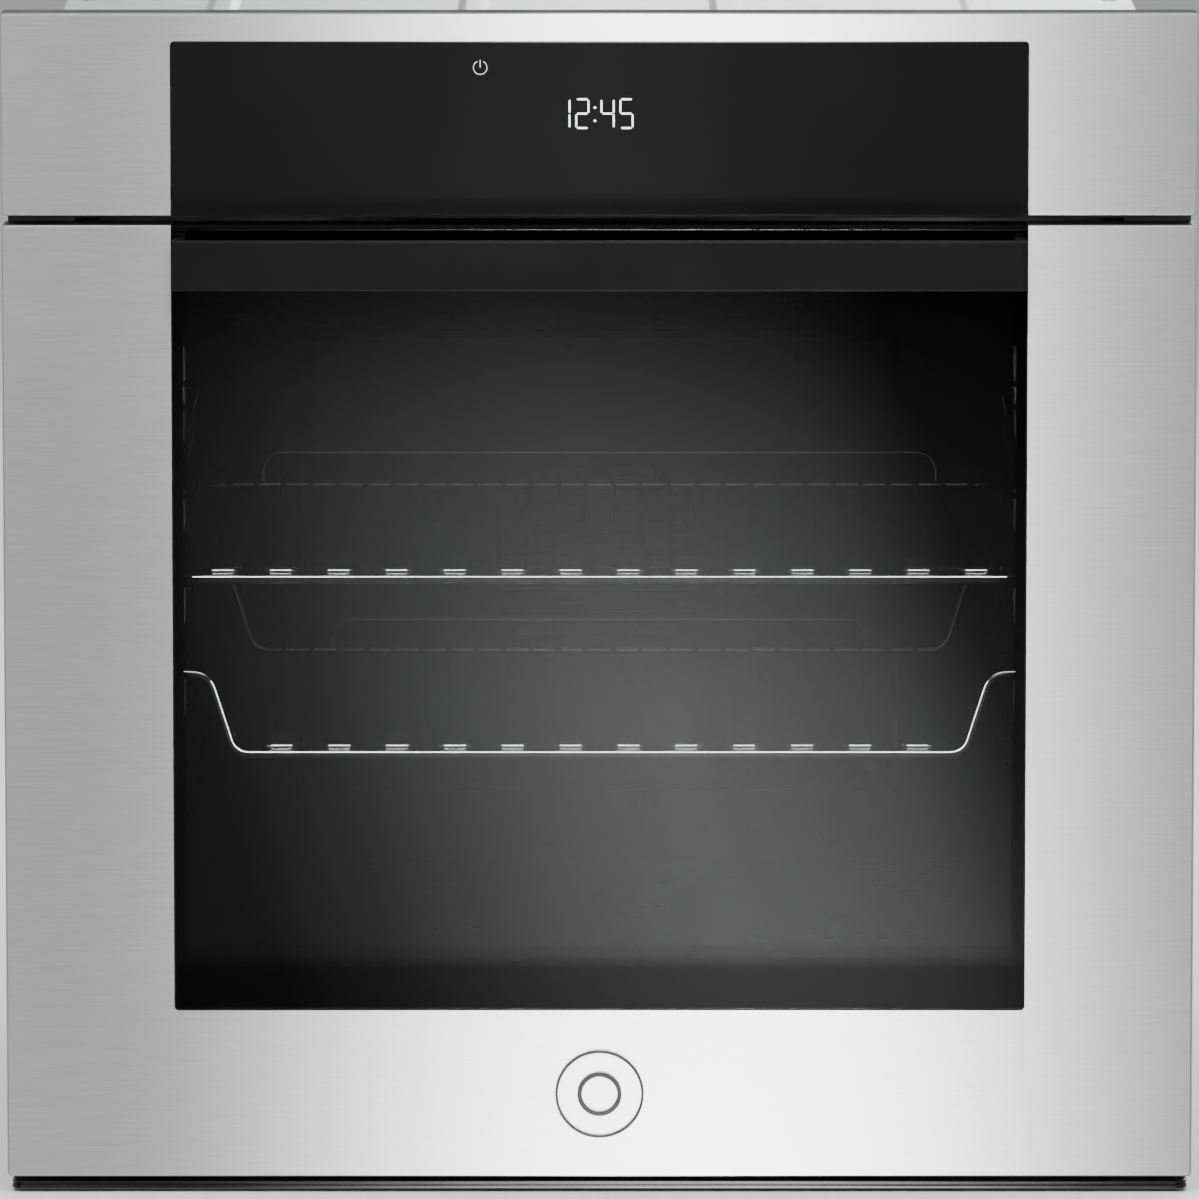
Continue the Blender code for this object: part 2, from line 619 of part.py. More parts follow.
# --- control panel and wiring -------------------------------------------------------------------
def controls():
    half = FRONT_WIDTH / 2
    panel = open_box("fascia_frame", (-half, FRONT, FASCIA_BOTTOM), (half, FRONT + FRONT_RETURN, FRONT_TOP),
                     ("+Y",), "stainless", bend=FRONT_BEND)
    cut(panel, box("fascia_window", (-GLASS_HALF, FRONT - 0.01, FASCIA_BOTTOM - 0.01),
                   (GLASS_HALF, FRONT + FRONT_RETURN + 0.01, FASCIA_GLASS_TOP)))
    face = FRONT + 0.0006
    box("fascia_glass", (-GLASS_HALF + GAP, face, FASCIA_BOTTOM + 0.0002),
        (GLASS_HALF - GAP, face + 0.004, FASCIA_GLASS_TOP - GAP), "black_glass")
    open_box("fascia_carrier", (-0.208, face + 0.004 + GAP, 0.500), (0.208, NICHE - 0.0020, 0.577),
             ("+Y",), "plastic", thickness=0.002)
    box("control_board", (-0.110, NICHE + 0.006, 0.512), (0.110, NICHE + 0.0076, 0.568), "circuit_board")
    box("display_module", (-0.040, FRONT + 0.0078, 0.523), (0.040, FRONT + 0.0160, 0.557), "plastic")
    block = box("terminal_block", (-0.242, CASING_BACK - 0.030, 0.508),
                (-0.178, CASING_BACK + 0.006, 0.542), "plastic", round_edges=0.0015)
    for i in range(3):
        x = -0.228 + i * 0.018
        cut(block, box(f"terminal_{i + 1}", (x - 0.005, CASING_BACK - 0.012, 0.515),
                       (x + 0.005, CASING_BACK + 0.010, 0.535)))


# --- door ---------------------------------------------------------------------------------------
def door_shell():
    half = FRONT_WIDTH / 2
    skin = open_box("door_skin", (-half, FRONT, DOOR_BOTTOM), (half, FRONT + FRONT_RETURN, DOOR_TOP),
                    ("+Y",), "stainless", bend=FRONT_BEND)
    cut(skin, box("skin_window", (-GLASS_HALF, FRONT - 0.01, WINDOW_BOTTOM),
                  (GLASS_HALF, FRONT + FRONT_RETURN + 0.01, DOOR_TOP + 0.01)))
    toe, below = HINGE_Z + 0.0002, DOOR_BOTTOM - 0.005
    slope = [(FRONT + 0.0100, below), (FRONT + 0.0100, DOOR_BOTTOM), (FRONT + 0.0202, toe),
             (FRONT + 0.0300, toe), (FRONT + 0.0300, below)]
    cut(skin, as_mesh(extruded("skin_toe_cut", [slope], "X", -0.31, 0.31)))
    for side in (LEFT, RIGHT):
        at = side * HINGE_X
        cut(skin, box(f"arm_slot_{SIDES[side]}", (at - 0.0065, FRONT + 0.0017, DOOR_BOTTOM - 0.004),
                      (at + 0.0065, FRONT + 0.0120, DOOR_BOTTOM + 0.003)))
    members = [skin]

    glass = FRONT + 0.0010
    members.append(box("door_glass_outer", (-GLASS_HALF + GAP, glass, WINDOW_BOTTOM + GAP),
                       (GLASS_HALF - GAP, glass + 0.004, 0.4880), "black_glass"))
    members.append(box("door_glass_middle", (-0.2205, FRONT + 0.018, 0.060), (0.2205, FRONT + 0.021, 0.470),
                       "clear_glass"))
    inner = FRONT + DOOR_THICKNESS - 0.004
    members.append(box("door_glass_inner", (-0.2575, inner, 0.0615), (0.2575, inner + 0.004, 0.4775),
                       "clear_glass"))
    cap = [(0.0008, 0.4884), (0.0008, 0.4899), (0.0196, 0.4899), (0.0196, 0.4862), (0.0395, 0.4862),
           (0.0395, 0.4790), (0.0220, 0.4790), (0.0220, 0.4850), (0.0056, 0.4850), (0.0056, 0.4884)]
    half = GLASS_HALF - 0.0005
    outline = [(FRONT + y, z) for y, z in cap]
    members.append(extruded("door_top_trim", [outline], "X", -half, half, "black_metal"))

    slot_half, slot_top, low, top = 0.0075, 0.0290, 0.0125, 0.0600
    edge = [(0.2575, low), (0.2575, top), (-0.2575, top), (-0.2575, low)]
    for side in (LEFT, RIGHT):
        at = side * HINGE_X
        near, far = at - slot_half, at + slot_half
        edge += [(near, low), (near, slot_top), (far, slot_top), (far, low)]
    members.append(extruded("door_bottom_cover", [edge], "Y", inner, inner + SHEET, "black_metal"))

    for side in (LEFT, RIGHT):
        low, high = sorted((side * 0.222, side * 0.258))
        members.append(open_box(f"{SIDES[side]}_door_stile", (low, FRONT + 0.0017, 0.0310),
                                (high, inner - GAP, 0.4860), ("-Y", "+Z", "-Z"), "galvanised"))

    badge = cylinder("door_badge", (0, FRONT - 0.0006 - GAP, BADGE_Z), BADGE_RADIUS, 0.0012, "Y",
                     "black_metal", 40)
    cut(badge, cylinder("badge_hole", (0, FRONT, BADGE_Z), BADGE_RADIUS - 0.0100, 0.010, "Y", sides=32))
    members.append(badge)
    return members


def handle():
    front = FRONT - HANDLE_PROUD
    back = front + HANDLE_PLATE
    members = [box("handle_bar", (-HANDLE_HALF, front, HANDLE_LOW), (HANDLE_HALF, back, HANDLE_HIGH),
                   "black_metal", round_edges=0.0008)]
    for side in (LEFT, RIGHT):
        low, high = sorted((side * (HANDLE_HALF - 0.0055), side * HANDLE_HALF))
        members.append(box(f"{SIDES[side]}_handle_bracket", (low, back + GAP - 0.0001, HANDLE_LOW + 0.001),
                           (high, FRONT + 0.0007, HANDLE_HIGH - 0.001), "black_metal"))
    return members


def hinges():
    """Each hinge: an arm fixed in the chassis, and in the door a channel, a pin, a rod and its spring."""
    members, rods = [], {}
    eye, bore, pin = 0.0046, 0.0027, 0.0022
    arm_half, channel_half = 0.0055, 0.0076
    for side in (LEFT, RIGHT):
        name, x = SIDES[side], side * HINGE_X
        arc = [math.radians(90 + 180 * i / 8) for i in range(9)]
        arm = [(HINGE_Y + eye * math.cos(a), HINGE_Z + eye * math.sin(a)) for a in arc]
        arm += [(MOUTH - 0.004, HINGE_Z - eye), (MOUTH + 0.004, 0.0068), (MOUTH + 0.066, 0.0068),
                (MOUTH + 0.066, 0.0200), (MOUTH + 0.004, HINGE_Z + eye)]
        hole = circle(HINGE_Y, HINGE_Z, bore, 12)
        extruded(f"{name}_hinge_arm", [arm, hole], "X", x - arm_half, x + arm_half, "spring_steel")

        channel = open_box(f"{name}_hinge_channel", (x - channel_half, FRONT + 0.0016, 0.0125),
                           (x + channel_half, FRONT + 0.0300, 0.1500), ("+Y", "+Z", "-Z"), "galvanised")
        seat = 0.0580
        fuse(channel, box(f"{name}_spring_seat", (x - channel_half + 0.0004, FRONT + 0.0020, seat - 0.0020),
                          (x + channel_half - 0.0004, FRONT + 0.0290, seat)))
        cut(channel, box(f"{name}_eye_slot", (x - 0.0060, FRONT, 0.0100),
                         (x + 0.0060, FRONT + 0.0045, 0.0300)))
        cut(channel, cylinder(f"{name}_pin_hole", (x, HINGE_Y, HINGE_Z), pin + GAP, 0.030, "X", sides=12))
        rod_y = FRONT + 0.0160
        cut(channel, cylinder(f"{name}_rod_hole", (x, rod_y, seat), 0.0030, 0.020, "Z", sides=12))
        members.append(channel)
        members.append(cylinder(f"{name}_hinge_pin", (x, HINGE_Y, HINGE_Z), pin, 2 * channel_half + 0.002,
                                "X", "spring_steel", 12))

        spring_top, turns, per_turn = 0.1290, 7, 9
        count = turns * per_turn
        rise = (spring_top - seat - 0.0022) / count
        coil = []
        for i in range(count + 1):
            angle = 2 * math.pi * i / per_turn
            across, along = 0.0045 * math.cos(angle), 0.0045 * math.sin(angle)
            coil.append((x + across, rod_y + along, seat + 0.0011 + rise * i))
        members.append(tubes(f"{name}_hinge_spring", [coil], 0.0008, "spring_steel", detail=0))
        rod = cylinder(f"{name}_spring_rod", (x, rod_y, 0.0880), 0.0022, 0.1080, "Z", "spring_steel", 12)
        head = cylinder(f"{name}_rod_head", (x, rod_y, spring_top + 0.0016), 0.0056, 0.0024, "Z", sides=12)
        fuse(rod, head)
        rods[name] = rod
    return members, rods


def door():
    members, rods = hinges()
    swing = pivot("door_hinge", (0, HINGE_Y, HINGE_Z), door_shell() + handle() + members)
    for name, rod in rods.items():
        slide = pivot(f"{name}_rod_slide", rod.matrix_world.translation, [rod])
        slide.parent = swing
        slide.matrix_parent_inverse = Matrix.Translation(-Vector((0, HINGE_Y, HINGE_Z)))


clear_scene()
PARTS = collection("wall_oven")
CUTTERS = collection("cutters")
casing()
front_frame()
cavity()
heaters()
fan_group()
lamp()
probe()
ladders()
racks()
cooling()
controls()
door()
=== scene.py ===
import json
import math

import bmesh
import bpy
from mathutils import Matrix, Vector


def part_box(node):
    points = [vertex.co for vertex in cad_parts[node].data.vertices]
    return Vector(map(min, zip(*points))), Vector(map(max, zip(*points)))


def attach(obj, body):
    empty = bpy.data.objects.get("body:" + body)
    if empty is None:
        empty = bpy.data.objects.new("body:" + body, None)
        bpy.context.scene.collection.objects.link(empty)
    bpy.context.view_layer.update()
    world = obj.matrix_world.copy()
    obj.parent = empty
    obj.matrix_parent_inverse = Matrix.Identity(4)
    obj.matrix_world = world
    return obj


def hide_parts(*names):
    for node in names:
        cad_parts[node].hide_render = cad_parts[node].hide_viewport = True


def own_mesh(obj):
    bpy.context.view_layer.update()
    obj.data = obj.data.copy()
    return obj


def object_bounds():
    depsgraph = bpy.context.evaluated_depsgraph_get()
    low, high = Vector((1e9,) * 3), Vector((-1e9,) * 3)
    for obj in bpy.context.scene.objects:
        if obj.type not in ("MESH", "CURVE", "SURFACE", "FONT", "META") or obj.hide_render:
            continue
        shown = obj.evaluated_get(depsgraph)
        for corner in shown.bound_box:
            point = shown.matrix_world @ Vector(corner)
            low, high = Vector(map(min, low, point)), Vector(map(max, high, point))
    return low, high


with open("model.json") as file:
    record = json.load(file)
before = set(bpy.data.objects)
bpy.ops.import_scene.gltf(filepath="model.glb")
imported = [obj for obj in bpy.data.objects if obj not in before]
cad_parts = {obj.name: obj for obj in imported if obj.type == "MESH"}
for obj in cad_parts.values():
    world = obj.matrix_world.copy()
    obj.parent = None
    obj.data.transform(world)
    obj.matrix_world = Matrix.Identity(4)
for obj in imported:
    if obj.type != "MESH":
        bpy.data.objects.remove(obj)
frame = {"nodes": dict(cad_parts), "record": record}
cad_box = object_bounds()

# --- places read from the model -----------------------------------------------------------------
GROUND = cad_box[0].z
SKIN_LOW, SKIN_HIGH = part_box("door_skin")
FACE = SKIN_LOW.y                       # front plane of the stainless steel
PANEL_LOW, PANEL_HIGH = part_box("fascia_frame")
PANEL_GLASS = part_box("fascia_glass")
DOOR_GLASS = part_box("door_glass_outer")
GLASS_HALF = DOOR_GLASS[1].x
CAVITY_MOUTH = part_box("cavity_wrap")[0].y
SIDES = {-1: "left", 1: "right"}        # the sign of x on each side


# --- materials ----------------------------------------------------------------------------------
class Nodes:
    """A material's node tree, with short ways to add and link nodes."""

    def __init__(self, name):
        self.material = bpy.data.materials.new(name)
        self.material.use_nodes = True
        self.tree = self.material.node_tree
        self.shader = self.tree.nodes["Principled BSDF"]

    def set(self, **values):
        for key, value in values.items():
            socket = self.shader.inputs[key.replace("_", " ")]
            if isinstance(value, bpy.types.NodeSocket):
                self.tree.links.new(value, socket)
            else:
                socket.default_value = value
        return self

    def add(self, kind, inputs=None, **settings):
        node = self.tree.nodes.new(kind)
        for key, value in settings.items():
            setattr(node, key, value)
        for key, value in (inputs or {}).items():
            if isinstance(value, bpy.types.NodeSocket):
                self.tree.links.new(value, node.inputs[key])
            else:
                node.inputs[key].default_value = value
        return node

    def place(self, scale=(1, 1, 1)):
        """Object coordinates, stretched."""
        found = self.add("ShaderNodeTexCoord").outputs["Object"]
        return self.add("ShaderNodeMapping", {"Vector": found, "Scale": scale}).outputs["Vector"]

    def noise(self, scale, stretch=(1, 1, 1), detail=3.0):
        values = {"Vector": self.place(stretch), "Scale": scale, "Detail": detail}
        return self.add("ShaderNodeTexNoise", values).outputs["Fac"]

    def ramp(self, factor, stops):
        """A colour ramp: stops are (position, grey or colour)."""
        node = self.add("ShaderNodeValToRGB", {"Fac": factor})
        points = node.color_ramp.elements
        points.remove(points[1])
        for i, (place, colour) in enumerate(stops):
            point = points[0] if i == 0 else points.new(place)
            point.position = place
            point.color = (*([colour] * 3), 1) if isinstance(colour, (int, float)) else (*colour, 1)
        return node.outputs["Color"]

    def range(self, factor, low, high):
        values = {"Value": factor, "To Min": low, "To Max": high}
        return self.add("ShaderNodeMapRange", values).outputs["Result"]

    def bump(self, height, strength, distance):
        made = self.add("ShaderNodeBump", {"Height": height, "Strength": strength, "Distance": distance})
        return made.outputs["Normal"]


def grey(level):
    return (level, level, level * 1.01)


def stainless():
    """Brushed from side to side: fine lines along X, slight drifts of tone across the sheet."""
    n = Nodes("brushed_stainless")
    lines = n.noise(1700, (0.028, 1.0, 1.0), 2.0)
    drift = n.noise(6, (0.35, 1.0, 1.0), 2.0)
    tone = n.add("ShaderNodeMath", {0: lines, 1: n.range(drift, -0.05, 0.05)}, operation="ADD").outputs[0]
    n.set(Base_Color=n.ramp(tone, [(0.2, grey(0.745)), (0.8, grey(0.855))]), Metallic=1.0,
          Roughness=n.range(lines, 0.32, 0.37), Normal=n.bump(lines, 0.03, 0.00005), Anisotropic=0.98,
          Anisotropic_Rotation=0.25)
    return n.material


def black_glass():
    n = Nodes("black_control_glass")
    n.set(Base_Color=n.ramp(n.noise(9), [(0.3, grey(0.0045)), (0.7, grey(0.0065))]),
          Roughness=n.range(n.noise(40), 0.03, 0.05), Coat_Weight=0.3, Coat_Roughness=0.02)
    return n.material


def glass(name, low, high):
    """Float glass: lets the cavity show, and mirrors the room."""
    n = Nodes(name)
    n.set(Base_Color=n.ramp(n.noise(7), [(0.3, low), (0.7, high)]), Roughness=0.0, IOR=1.5,
          Transmission_Weight=1.0)
    return n.material


def frit():
    n = Nodes("ceramic_frit")
    n.set(Base_Color=n.ramp(n.noise(500), [(0.3, grey(0.002)), (0.7, grey(0.004))]), Roughness=0.9,
          Specular_IOR_Level=0.0)
    return n.material


def satin_black(name, level=0.012, roughness=(0.28, 0.38)):
    n = Nodes(name)
    grain = n.noise(2600)
    n.set(Base_Color=n.ramp(n.noise(30), [(0.3, grey(level)), (0.7, grey(level * 1.5))]), Metallic=0.25,
          Roughness=n.range(grain, *roughness), Normal=n.bump(grain, 0.08, 0.0001))
    return n.material


def dull_black(name, level, roughness, gloss):
    """Paint or plastic that hardly shines."""
    n = Nodes(name)
    grain = n.noise(2200)
    n.set(Base_Color=n.ramp(n.noise(30), [(0.3, grey(level)), (0.7, grey(level * 1.4))]),
          Roughness=n.range(grain, *roughness), Specular_IOR_Level=gloss,
          Normal=n.bump(grain, 0.06, 0.0001))
    return n.material


def enamel():
    """Dark vitreous enamel with pale flecks and a faint orange-peel surface."""
    n = Nodes("speckled_enamel")
    cells = n.add("ShaderNodeTexVoronoi", {"Vector": n.place(), "Scale": 520.0, "Randomness": 1.0})
    flecks = n.ramp(cells.outputs["Distance"], [(0.04, grey(0.018)), (0.10, grey(0.006))])
    n.set(Base_Color=flecks, Roughness=n.range(n.noise(60), 0.24, 0.34), Specular_IOR_Level=0.25,
          Normal=n.bump(n.noise(90), 0.10, 0.0004))
    return n.material


def chrome():
    n = Nodes("chrome_wire")
    n.set(Base_Color=n.ramp(n.noise(80), [(0.3, grey(0.52)), (0.7, grey(0.60))]), Metallic=1.0,
          Roughness=n.range(n.noise(150), 0.05, 0.10))
    return n.material


def galvanised():
    """Zinc-coated sheet, with the coarse crystals of its spangle."""
    n = Nodes("galvanised_sheet")
    cells = n.add("ShaderNodeTexVoronoi", {"Vector": n.place(), "Scale": 95.0, "Randomness": 1.0})
    split = n.add("ShaderNodeSeparateColor", {"Color": cells.outputs["Color"]}).outputs[0]
    n.set(Base_Color=n.ramp(split, [(0.0, (0.60, 0.62, 0.63)), (1.0, (0.68, 0.70, 0.71))]), Metallic=1.0,
          Roughness=n.range(split, 0.40, 0.47), Normal=n.bump(n.noise(350), 0.06, 0.0002))
    return n.material


def trim_steel():
    """Dark rolled steel, drawn lengthwise."""
    n = Nodes("dark_trim_steel")
    lines = n.noise(700, (0.02, 1, 1))
    n.set(Base_Color=n.ramp(lines, [(0.3, grey(0.042)), (0.7, grey(0.066))]), Metallic=1.0,
          Roughness=n.range(lines, 0.10, 0.16))
    return n.material


def screw_steel():
    n = Nodes("plated_screws")
    n.set(Base_Color=n.ramp(n.noise(120), [(0.3, grey(0.34)), (0.7, grey(0.46))]), Metallic=1.0,
          Roughness=n.range(n.noise(300), 0.25, 0.38))
    return n.material


def heater():
    n = Nodes("oxidised_sheath")
    tint = n.ramp(n.noise(45), [(0.3, (0.022, 0.020, 0.020)), (0.7, (0.055, 0.045, 0.040))])
    n.set(Base_Color=tint, Metallic=0.7, Roughness=n.range(n.noise(200), 0.42, 0.62))
    return n.material


def gasket():
    """Braided glass-fibre sleeve."""
    n = Nodes("braided_gasket")
    weave = n.add("ShaderNodeTexVoronoi", {"Vector": n.place(), "Scale": 700.0}).outputs["Distance"]
    n.set(Base_Color=n.ramp(weave, [(0.1, grey(0.055)), (0.6, grey(0.014))]), Roughness=0.85,
          Normal=n.bump(weave, 0.6, 0.0004))
    return n.material


def wool():
    n = Nodes("mineral_wool")
    fibres = n.noise(160, (1, 1, 3), 8.0)
    n.set(Base_Color=n.ramp(fibres, [(0.25, (0.42, 0.36, 0.20)), (0.75, (0.70, 0.64, 0.44))]),
          Roughness=0.95, Normal=n.bump(fibres, 0.9, 0.003))
    return n.material


def board():
    n = Nodes("circuit_board")
    tracks = n.add("ShaderNodeTexBrick", {"Vector": n.place(), "Scale": 70.0, "Mortar Size": 0.03})
    tracks.inputs["Color1"].default_value = (0.010, 0.10, 0.045, 1)
    tracks.inputs["Color2"].default_value = (0.014, 0.13, 0.055, 1)
    tracks.inputs["Mortar"].default_value = (0.05, 0.24, 0.10, 1)
    n.set(Base_Color=tracks.outputs["Color"], Roughness=0.42, Coat_Weight=0.3)
    return n.material


def moulded(name, colour, roughness=(0.42, 0.55)):
    n = Nodes(name)
    grain = n.noise(1500)
    n.set(Base_Color=n.ramp(n.noise(25), [(0.3, colour), (0.7, tuple(c * 1.15 for c in colour))]),
          Roughness=n.range(grain, *roughness), Normal=n.bump(grain, 0.12, 0.0002))
    return n.material


def painted_motor():
    n = Nodes("motor_laminations")
    lines = n.noise(500, (0.02, 1, 1), 2.0)
    n.set(Base_Color=n.ramp(lines, [(0.3, grey(0.13)), (0.7, grey(0.26))]), Metallic=0.8,
          Roughness=n.range(lines, 0.35, 0.5))
    return n.material


def glow(name, strength):
    n = Nodes(name)
    n.set(Base_Color=(*grey(0.9), 1), Roughness=0.5, Emission_Color=(0.93, 0.97, 1.0, 1),
          Emission_Strength=strength)
    return n.material


M = {
    "steel": stainless(),
    # painted shade: a dark copy of the steel for the folds that face the gap between panel and door
    "fold": satin_black("painted_shade_fold", 0.030, (0.4, 0.5)),
    # painted reflection: a dull dark grey on the panel's top fold, for the dark that the steel there mirrors
    "painted_dark_top_fold": dull_black("painted_dark_upper_fold", 0.045, (0.85, 0.95), 0.0),
    "panel_glass": black_glass(),
    "door_glass": glass("tinted_door_glass", grey(0.46), grey(0.50)),
    "clear": glass("clear_glass", (0.93, 0.94, 0.94), (0.96, 0.97, 0.97)),
    "frit": frit(),
    "glow": glow("display_glow", 1.8),
    "handle": dull_black("handle_black", 0.0055, (0.30, 0.36), 0.11),
    # partly the cap's own black, partly painted shade: near black so the door's top cap reads as the shade in
    # the gap above the door; the handle posts share it
    "cap": dull_black("door_cap_black_and_shade", 0.003, (0.6, 0.7), 0.05),
    # painted shade: the front frame's zinc is made a dull dark grey, for the shade in the gap between panel
    # and door
    "flange": dull_black("dark_flange_painted_shade", 0.055, (0.4, 0.5), 0.3),
    "trim": trim_steel(),
    "black": satin_black("satin_black"),
    "enamel": enamel(),
    "chrome": chrome(),
    "zinc": galvanised(),
    "screw": screw_steel(),
    "spring": satin_black("oiled_steel", 0.20, (0.28, 0.40)),
    # painted shade: the fan is made near black in place of its zinc, for the shade behind the cover's slots;
    # the fan cover's screws share it
    "fan": satin_black("fan_steel_painted_shade", 0.05, (0.4, 0.5)),
    "motor": painted_motor(),
    "heater": heater(),
    "gasket": gasket(),
    "wool": wool(),
    "board": board(),
    "plastic": moulded("black_plastic", grey(0.022)),
    "ceramic": moulded("steatite", (0.62, 0.60, 0.55), (0.3, 0.4)),
}
SLOT_LOOK = {
    "stainless": "steel", "black_glass": "panel_glass", "clear_glass": "clear", "black_metal": "black",
    "enamel": "enamel", "chrome_wire": "chrome", "galvanised": "zinc", "bright_trim": "trim",
    "heater": "heater", "gasket": "gasket", "insulation": "wool", "circuit_board": "board",
    "plastic": "plastic", "motor": "motor", "ceramic": "ceramic", "spring_steel": "spring",
}
SLOT_OF = {entry["node"]: entry["material_slot"] for entry in frame["record"]["subparts"]}
# Partly painted shade: the door's top cap, the front frame and the fan are made darker than their own finish,
# for the shade in the gap above the door and behind the fan's cover.
NODE_LOOK = {"door_top_trim": "cap", "front_frame": "flange", "convection_fan": "fan"}
for node, obj in frame["nodes"].items():
    for place in obj.material_slots:
        place.material = M[NODE_LOOK.get(node) or SLOT_LOOK[SLOT_OF[node]]]


# --- making pieces ------------------------------------------------------------------------------
def piece(name, mesh, look, body, nodes=()):
    """A piece that rides on a body, and stands for those CAD nodes."""
    obj = bpy.data.objects.new(name, mesh)
    bpy.context.scene.collection.objects.link(obj)
    mesh.materials.append(M[look])
    flat = obj.modifiers.new("flat_faces", "WEIGHTED_NORMAL")
    flat.keep_sharp = True
    flat.weight = 100
    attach(obj, body)
    if nodes:
        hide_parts(*nodes)
    return obj


def from_bmesh(name, bm, angle=35):
    mesh = bpy.data.meshes.new(name)
    bmesh.ops.recalc_face_normals(bm, faces=bm.faces)
    bm.to_mesh(mesh)
    bm.free()
    mesh.shade_smooth()
    mesh.set_sharp_from_angle(angle=math.radians(angle))
    return mesh


def evaluated(obj, angle=35):
    """The mesh that the object's modifiers make, after which the object is gone."""
    bpy.context.view_layer.update()
    mesh = bpy.data.meshes.new_from_object(obj.evaluated_get(bpy.context.evaluated_depsgraph_get()))
    mesh.transform(obj.matrix_world)
    bpy.data.objects.remove(obj)
    mesh.materials.clear()
    bm = bmesh.new()
    bm.from_mesh(mesh)
    bmesh.ops.remove_doubles(bm, verts=bm.verts, dist=1e-6)
    return from_bmesh(mesh.name, bm, angle)


def cube(bm, low, high):
    low, high = Vector(low), Vector(high)
    size = high - low
    place = Matrix.Translation((low + high) / 2) @ Matrix.Diagonal((*size, 1))
    return bmesh.ops.create_cube(bm, size=1, matrix=place)


def scratch(name, bm):
    """An object to put modifiers on."""
    mesh = bpy.data.meshes.new(name)
    bmesh.ops.recalc_face_normals(bm, faces=bm.faces)
    bm.to_mesh(mesh)
    bm.free()
    obj = bpy.data.objects.new(name, mesh)
    bpy.context.scene.collection.objects.link(obj)
    return obj


def bevel(bm, edges, radius, steps):
    bmesh.ops.bevel(bm, geom=edges, offset=radius, segments=steps, profile=0.5, affect="EDGES")


def deep_edges(bm):
    """The edges of a box that run from front to back."""
    return [e for e in bm.edges if abs(e.verts[0].co.y - e.verts[1].co.y) > 0.005]


def cutter(low, high, radius, steps=4):
    """A box to cut a hole from front to back, whose corners are rounded."""
    bm = bmesh.new()
    cube(bm, low, high)
    bevel(bm, deep_edges(bm), radius, steps)
    return scratch("cutter", bm)


def carved(obj, cutters, angle=35, soften=0.0):
    """The object's mesh once the cutters are taken out of it. Its sharp edges can be softened."""
    for tool in cutters:
        cut = obj.modifiers.new("cut", "BOOLEAN")
        cut.operation = "DIFFERENCE"
        cut.solver = "EXACT"
        cut.object = tool
    if soften:
        edge = obj.modifiers.new("edge", "BEVEL")
        edge.width = soften
        edge.segments = 2
        edge.limit_method = "ANGLE"
        edge.angle_limit = math.radians(50)
    mesh = evaluated(obj, angle)
    for tool in cutters:
        bpy.data.objects.remove(tool)
    return mesh


def loft(bm, loops, caps=True):
    """Walls between closed loops of points. With caps, a face closes each end. Without, the last loop
    joins the first."""
    rows = [[bm.verts.new(point) for point in loop] for loop in loops]
    for a, b in zip(rows, rows[1:] if caps else rows[1:] + rows[:1]):
        for i in range(len(a)):
            k = (i + 1) % len(a)
            bm.faces.new((a[i], a[k], b[k], b[i]))
    if caps:
        bm.faces.new(rows[0][::-1])
        bm.faces.new(rows[-1])


def prism(bm, outline, x0, x1):
    """A solid between two x, from an outline of (y, z) points."""
    loft(bm, [[(x, y, z) for y, z in outline] for x in (x0, x1)])


def pressing(name, low, high, face, corner, corner_steps, bend, sheet):
    """A tray of sheet metal, closed at y = face and open at its other end."""
    bm = bmesh.new()
    cube(bm, low, high)
    open_end = low.y + high.y - face
    gone = [f for f in bm.faces if abs(f.calc_center_median().y - open_end) < 1e-5]
    bmesh.ops.delete(bm, geom=gone, context="FACES")
    bevel(bm, deep_edges(bm), corner, corner_steps)
    bevel(bm, [e for e in bm.edges if all(abs(v.co.y - face) < 1e-6 for v in e.verts)], bend, 4)
    tray = scratch(name, bm)
    wall = tray.modifiers.new("sheet", "SOLIDIFY")
    wall.thickness = sheet
    wall.offset = -1
    return tray


def rounded_box(name, low, high, radius, steps=3):
    bm = bmesh.new()
    cube(bm, low, high)
    bevel(bm, bm.edges[:], radius, steps)
    return from_bmesh(name, bm)


def folded_front(name, low, high, hole_low, hole_high, notches=()):
    """A stainless front: a sheet with its edges folded back, an opening for the glass, and notches in
    the folded edge, each a prism of (y, z) points between two x."""
    shell = pressing(name, low, high, low.y, corner=0.0024, corner_steps=5, bend=0.0012, sheet=0.0012)
    cutters = [cutter(hole_low, hole_high, 0.0022)]
    for x0, x1, outline in notches:
        bm = bmesh.new()
        prism(bm, outline, x0, x1)
        cutters.append(scratch("notch", bm))
    return carved(shell, cutters, 30, soften=0.0003)


def wire(name, paths, radius, cyclic=False, sides=12):
    """Round bar along each path, as one mesh. sides is an even count."""
    curve = bpy.data.curves.new(name, "CURVE")
    curve.dimensions = "3D"
    curve.bevel_depth = radius
    curve.bevel_resolution = sides // 2 - 2
    curve.use_fill_caps = not cyclic
    for path in paths:
        spline = curve.splines.new("POLY")
        spline.points.add(len(path) - 1)
        for point, place in zip(spline.points, path):
            point.co = (*place, 1)
        spline.use_cyclic_u = cyclic
    obj = bpy.data.objects.new(name, curve)
    bpy.context.scene.collection.objects.link(obj)
    return evaluated(obj, 50)


def joined(name, meshes):
    bm = bmesh.new()
    for mesh in meshes:
        bm.from_mesh(mesh)
    return from_bmesh(name, bm, 50)


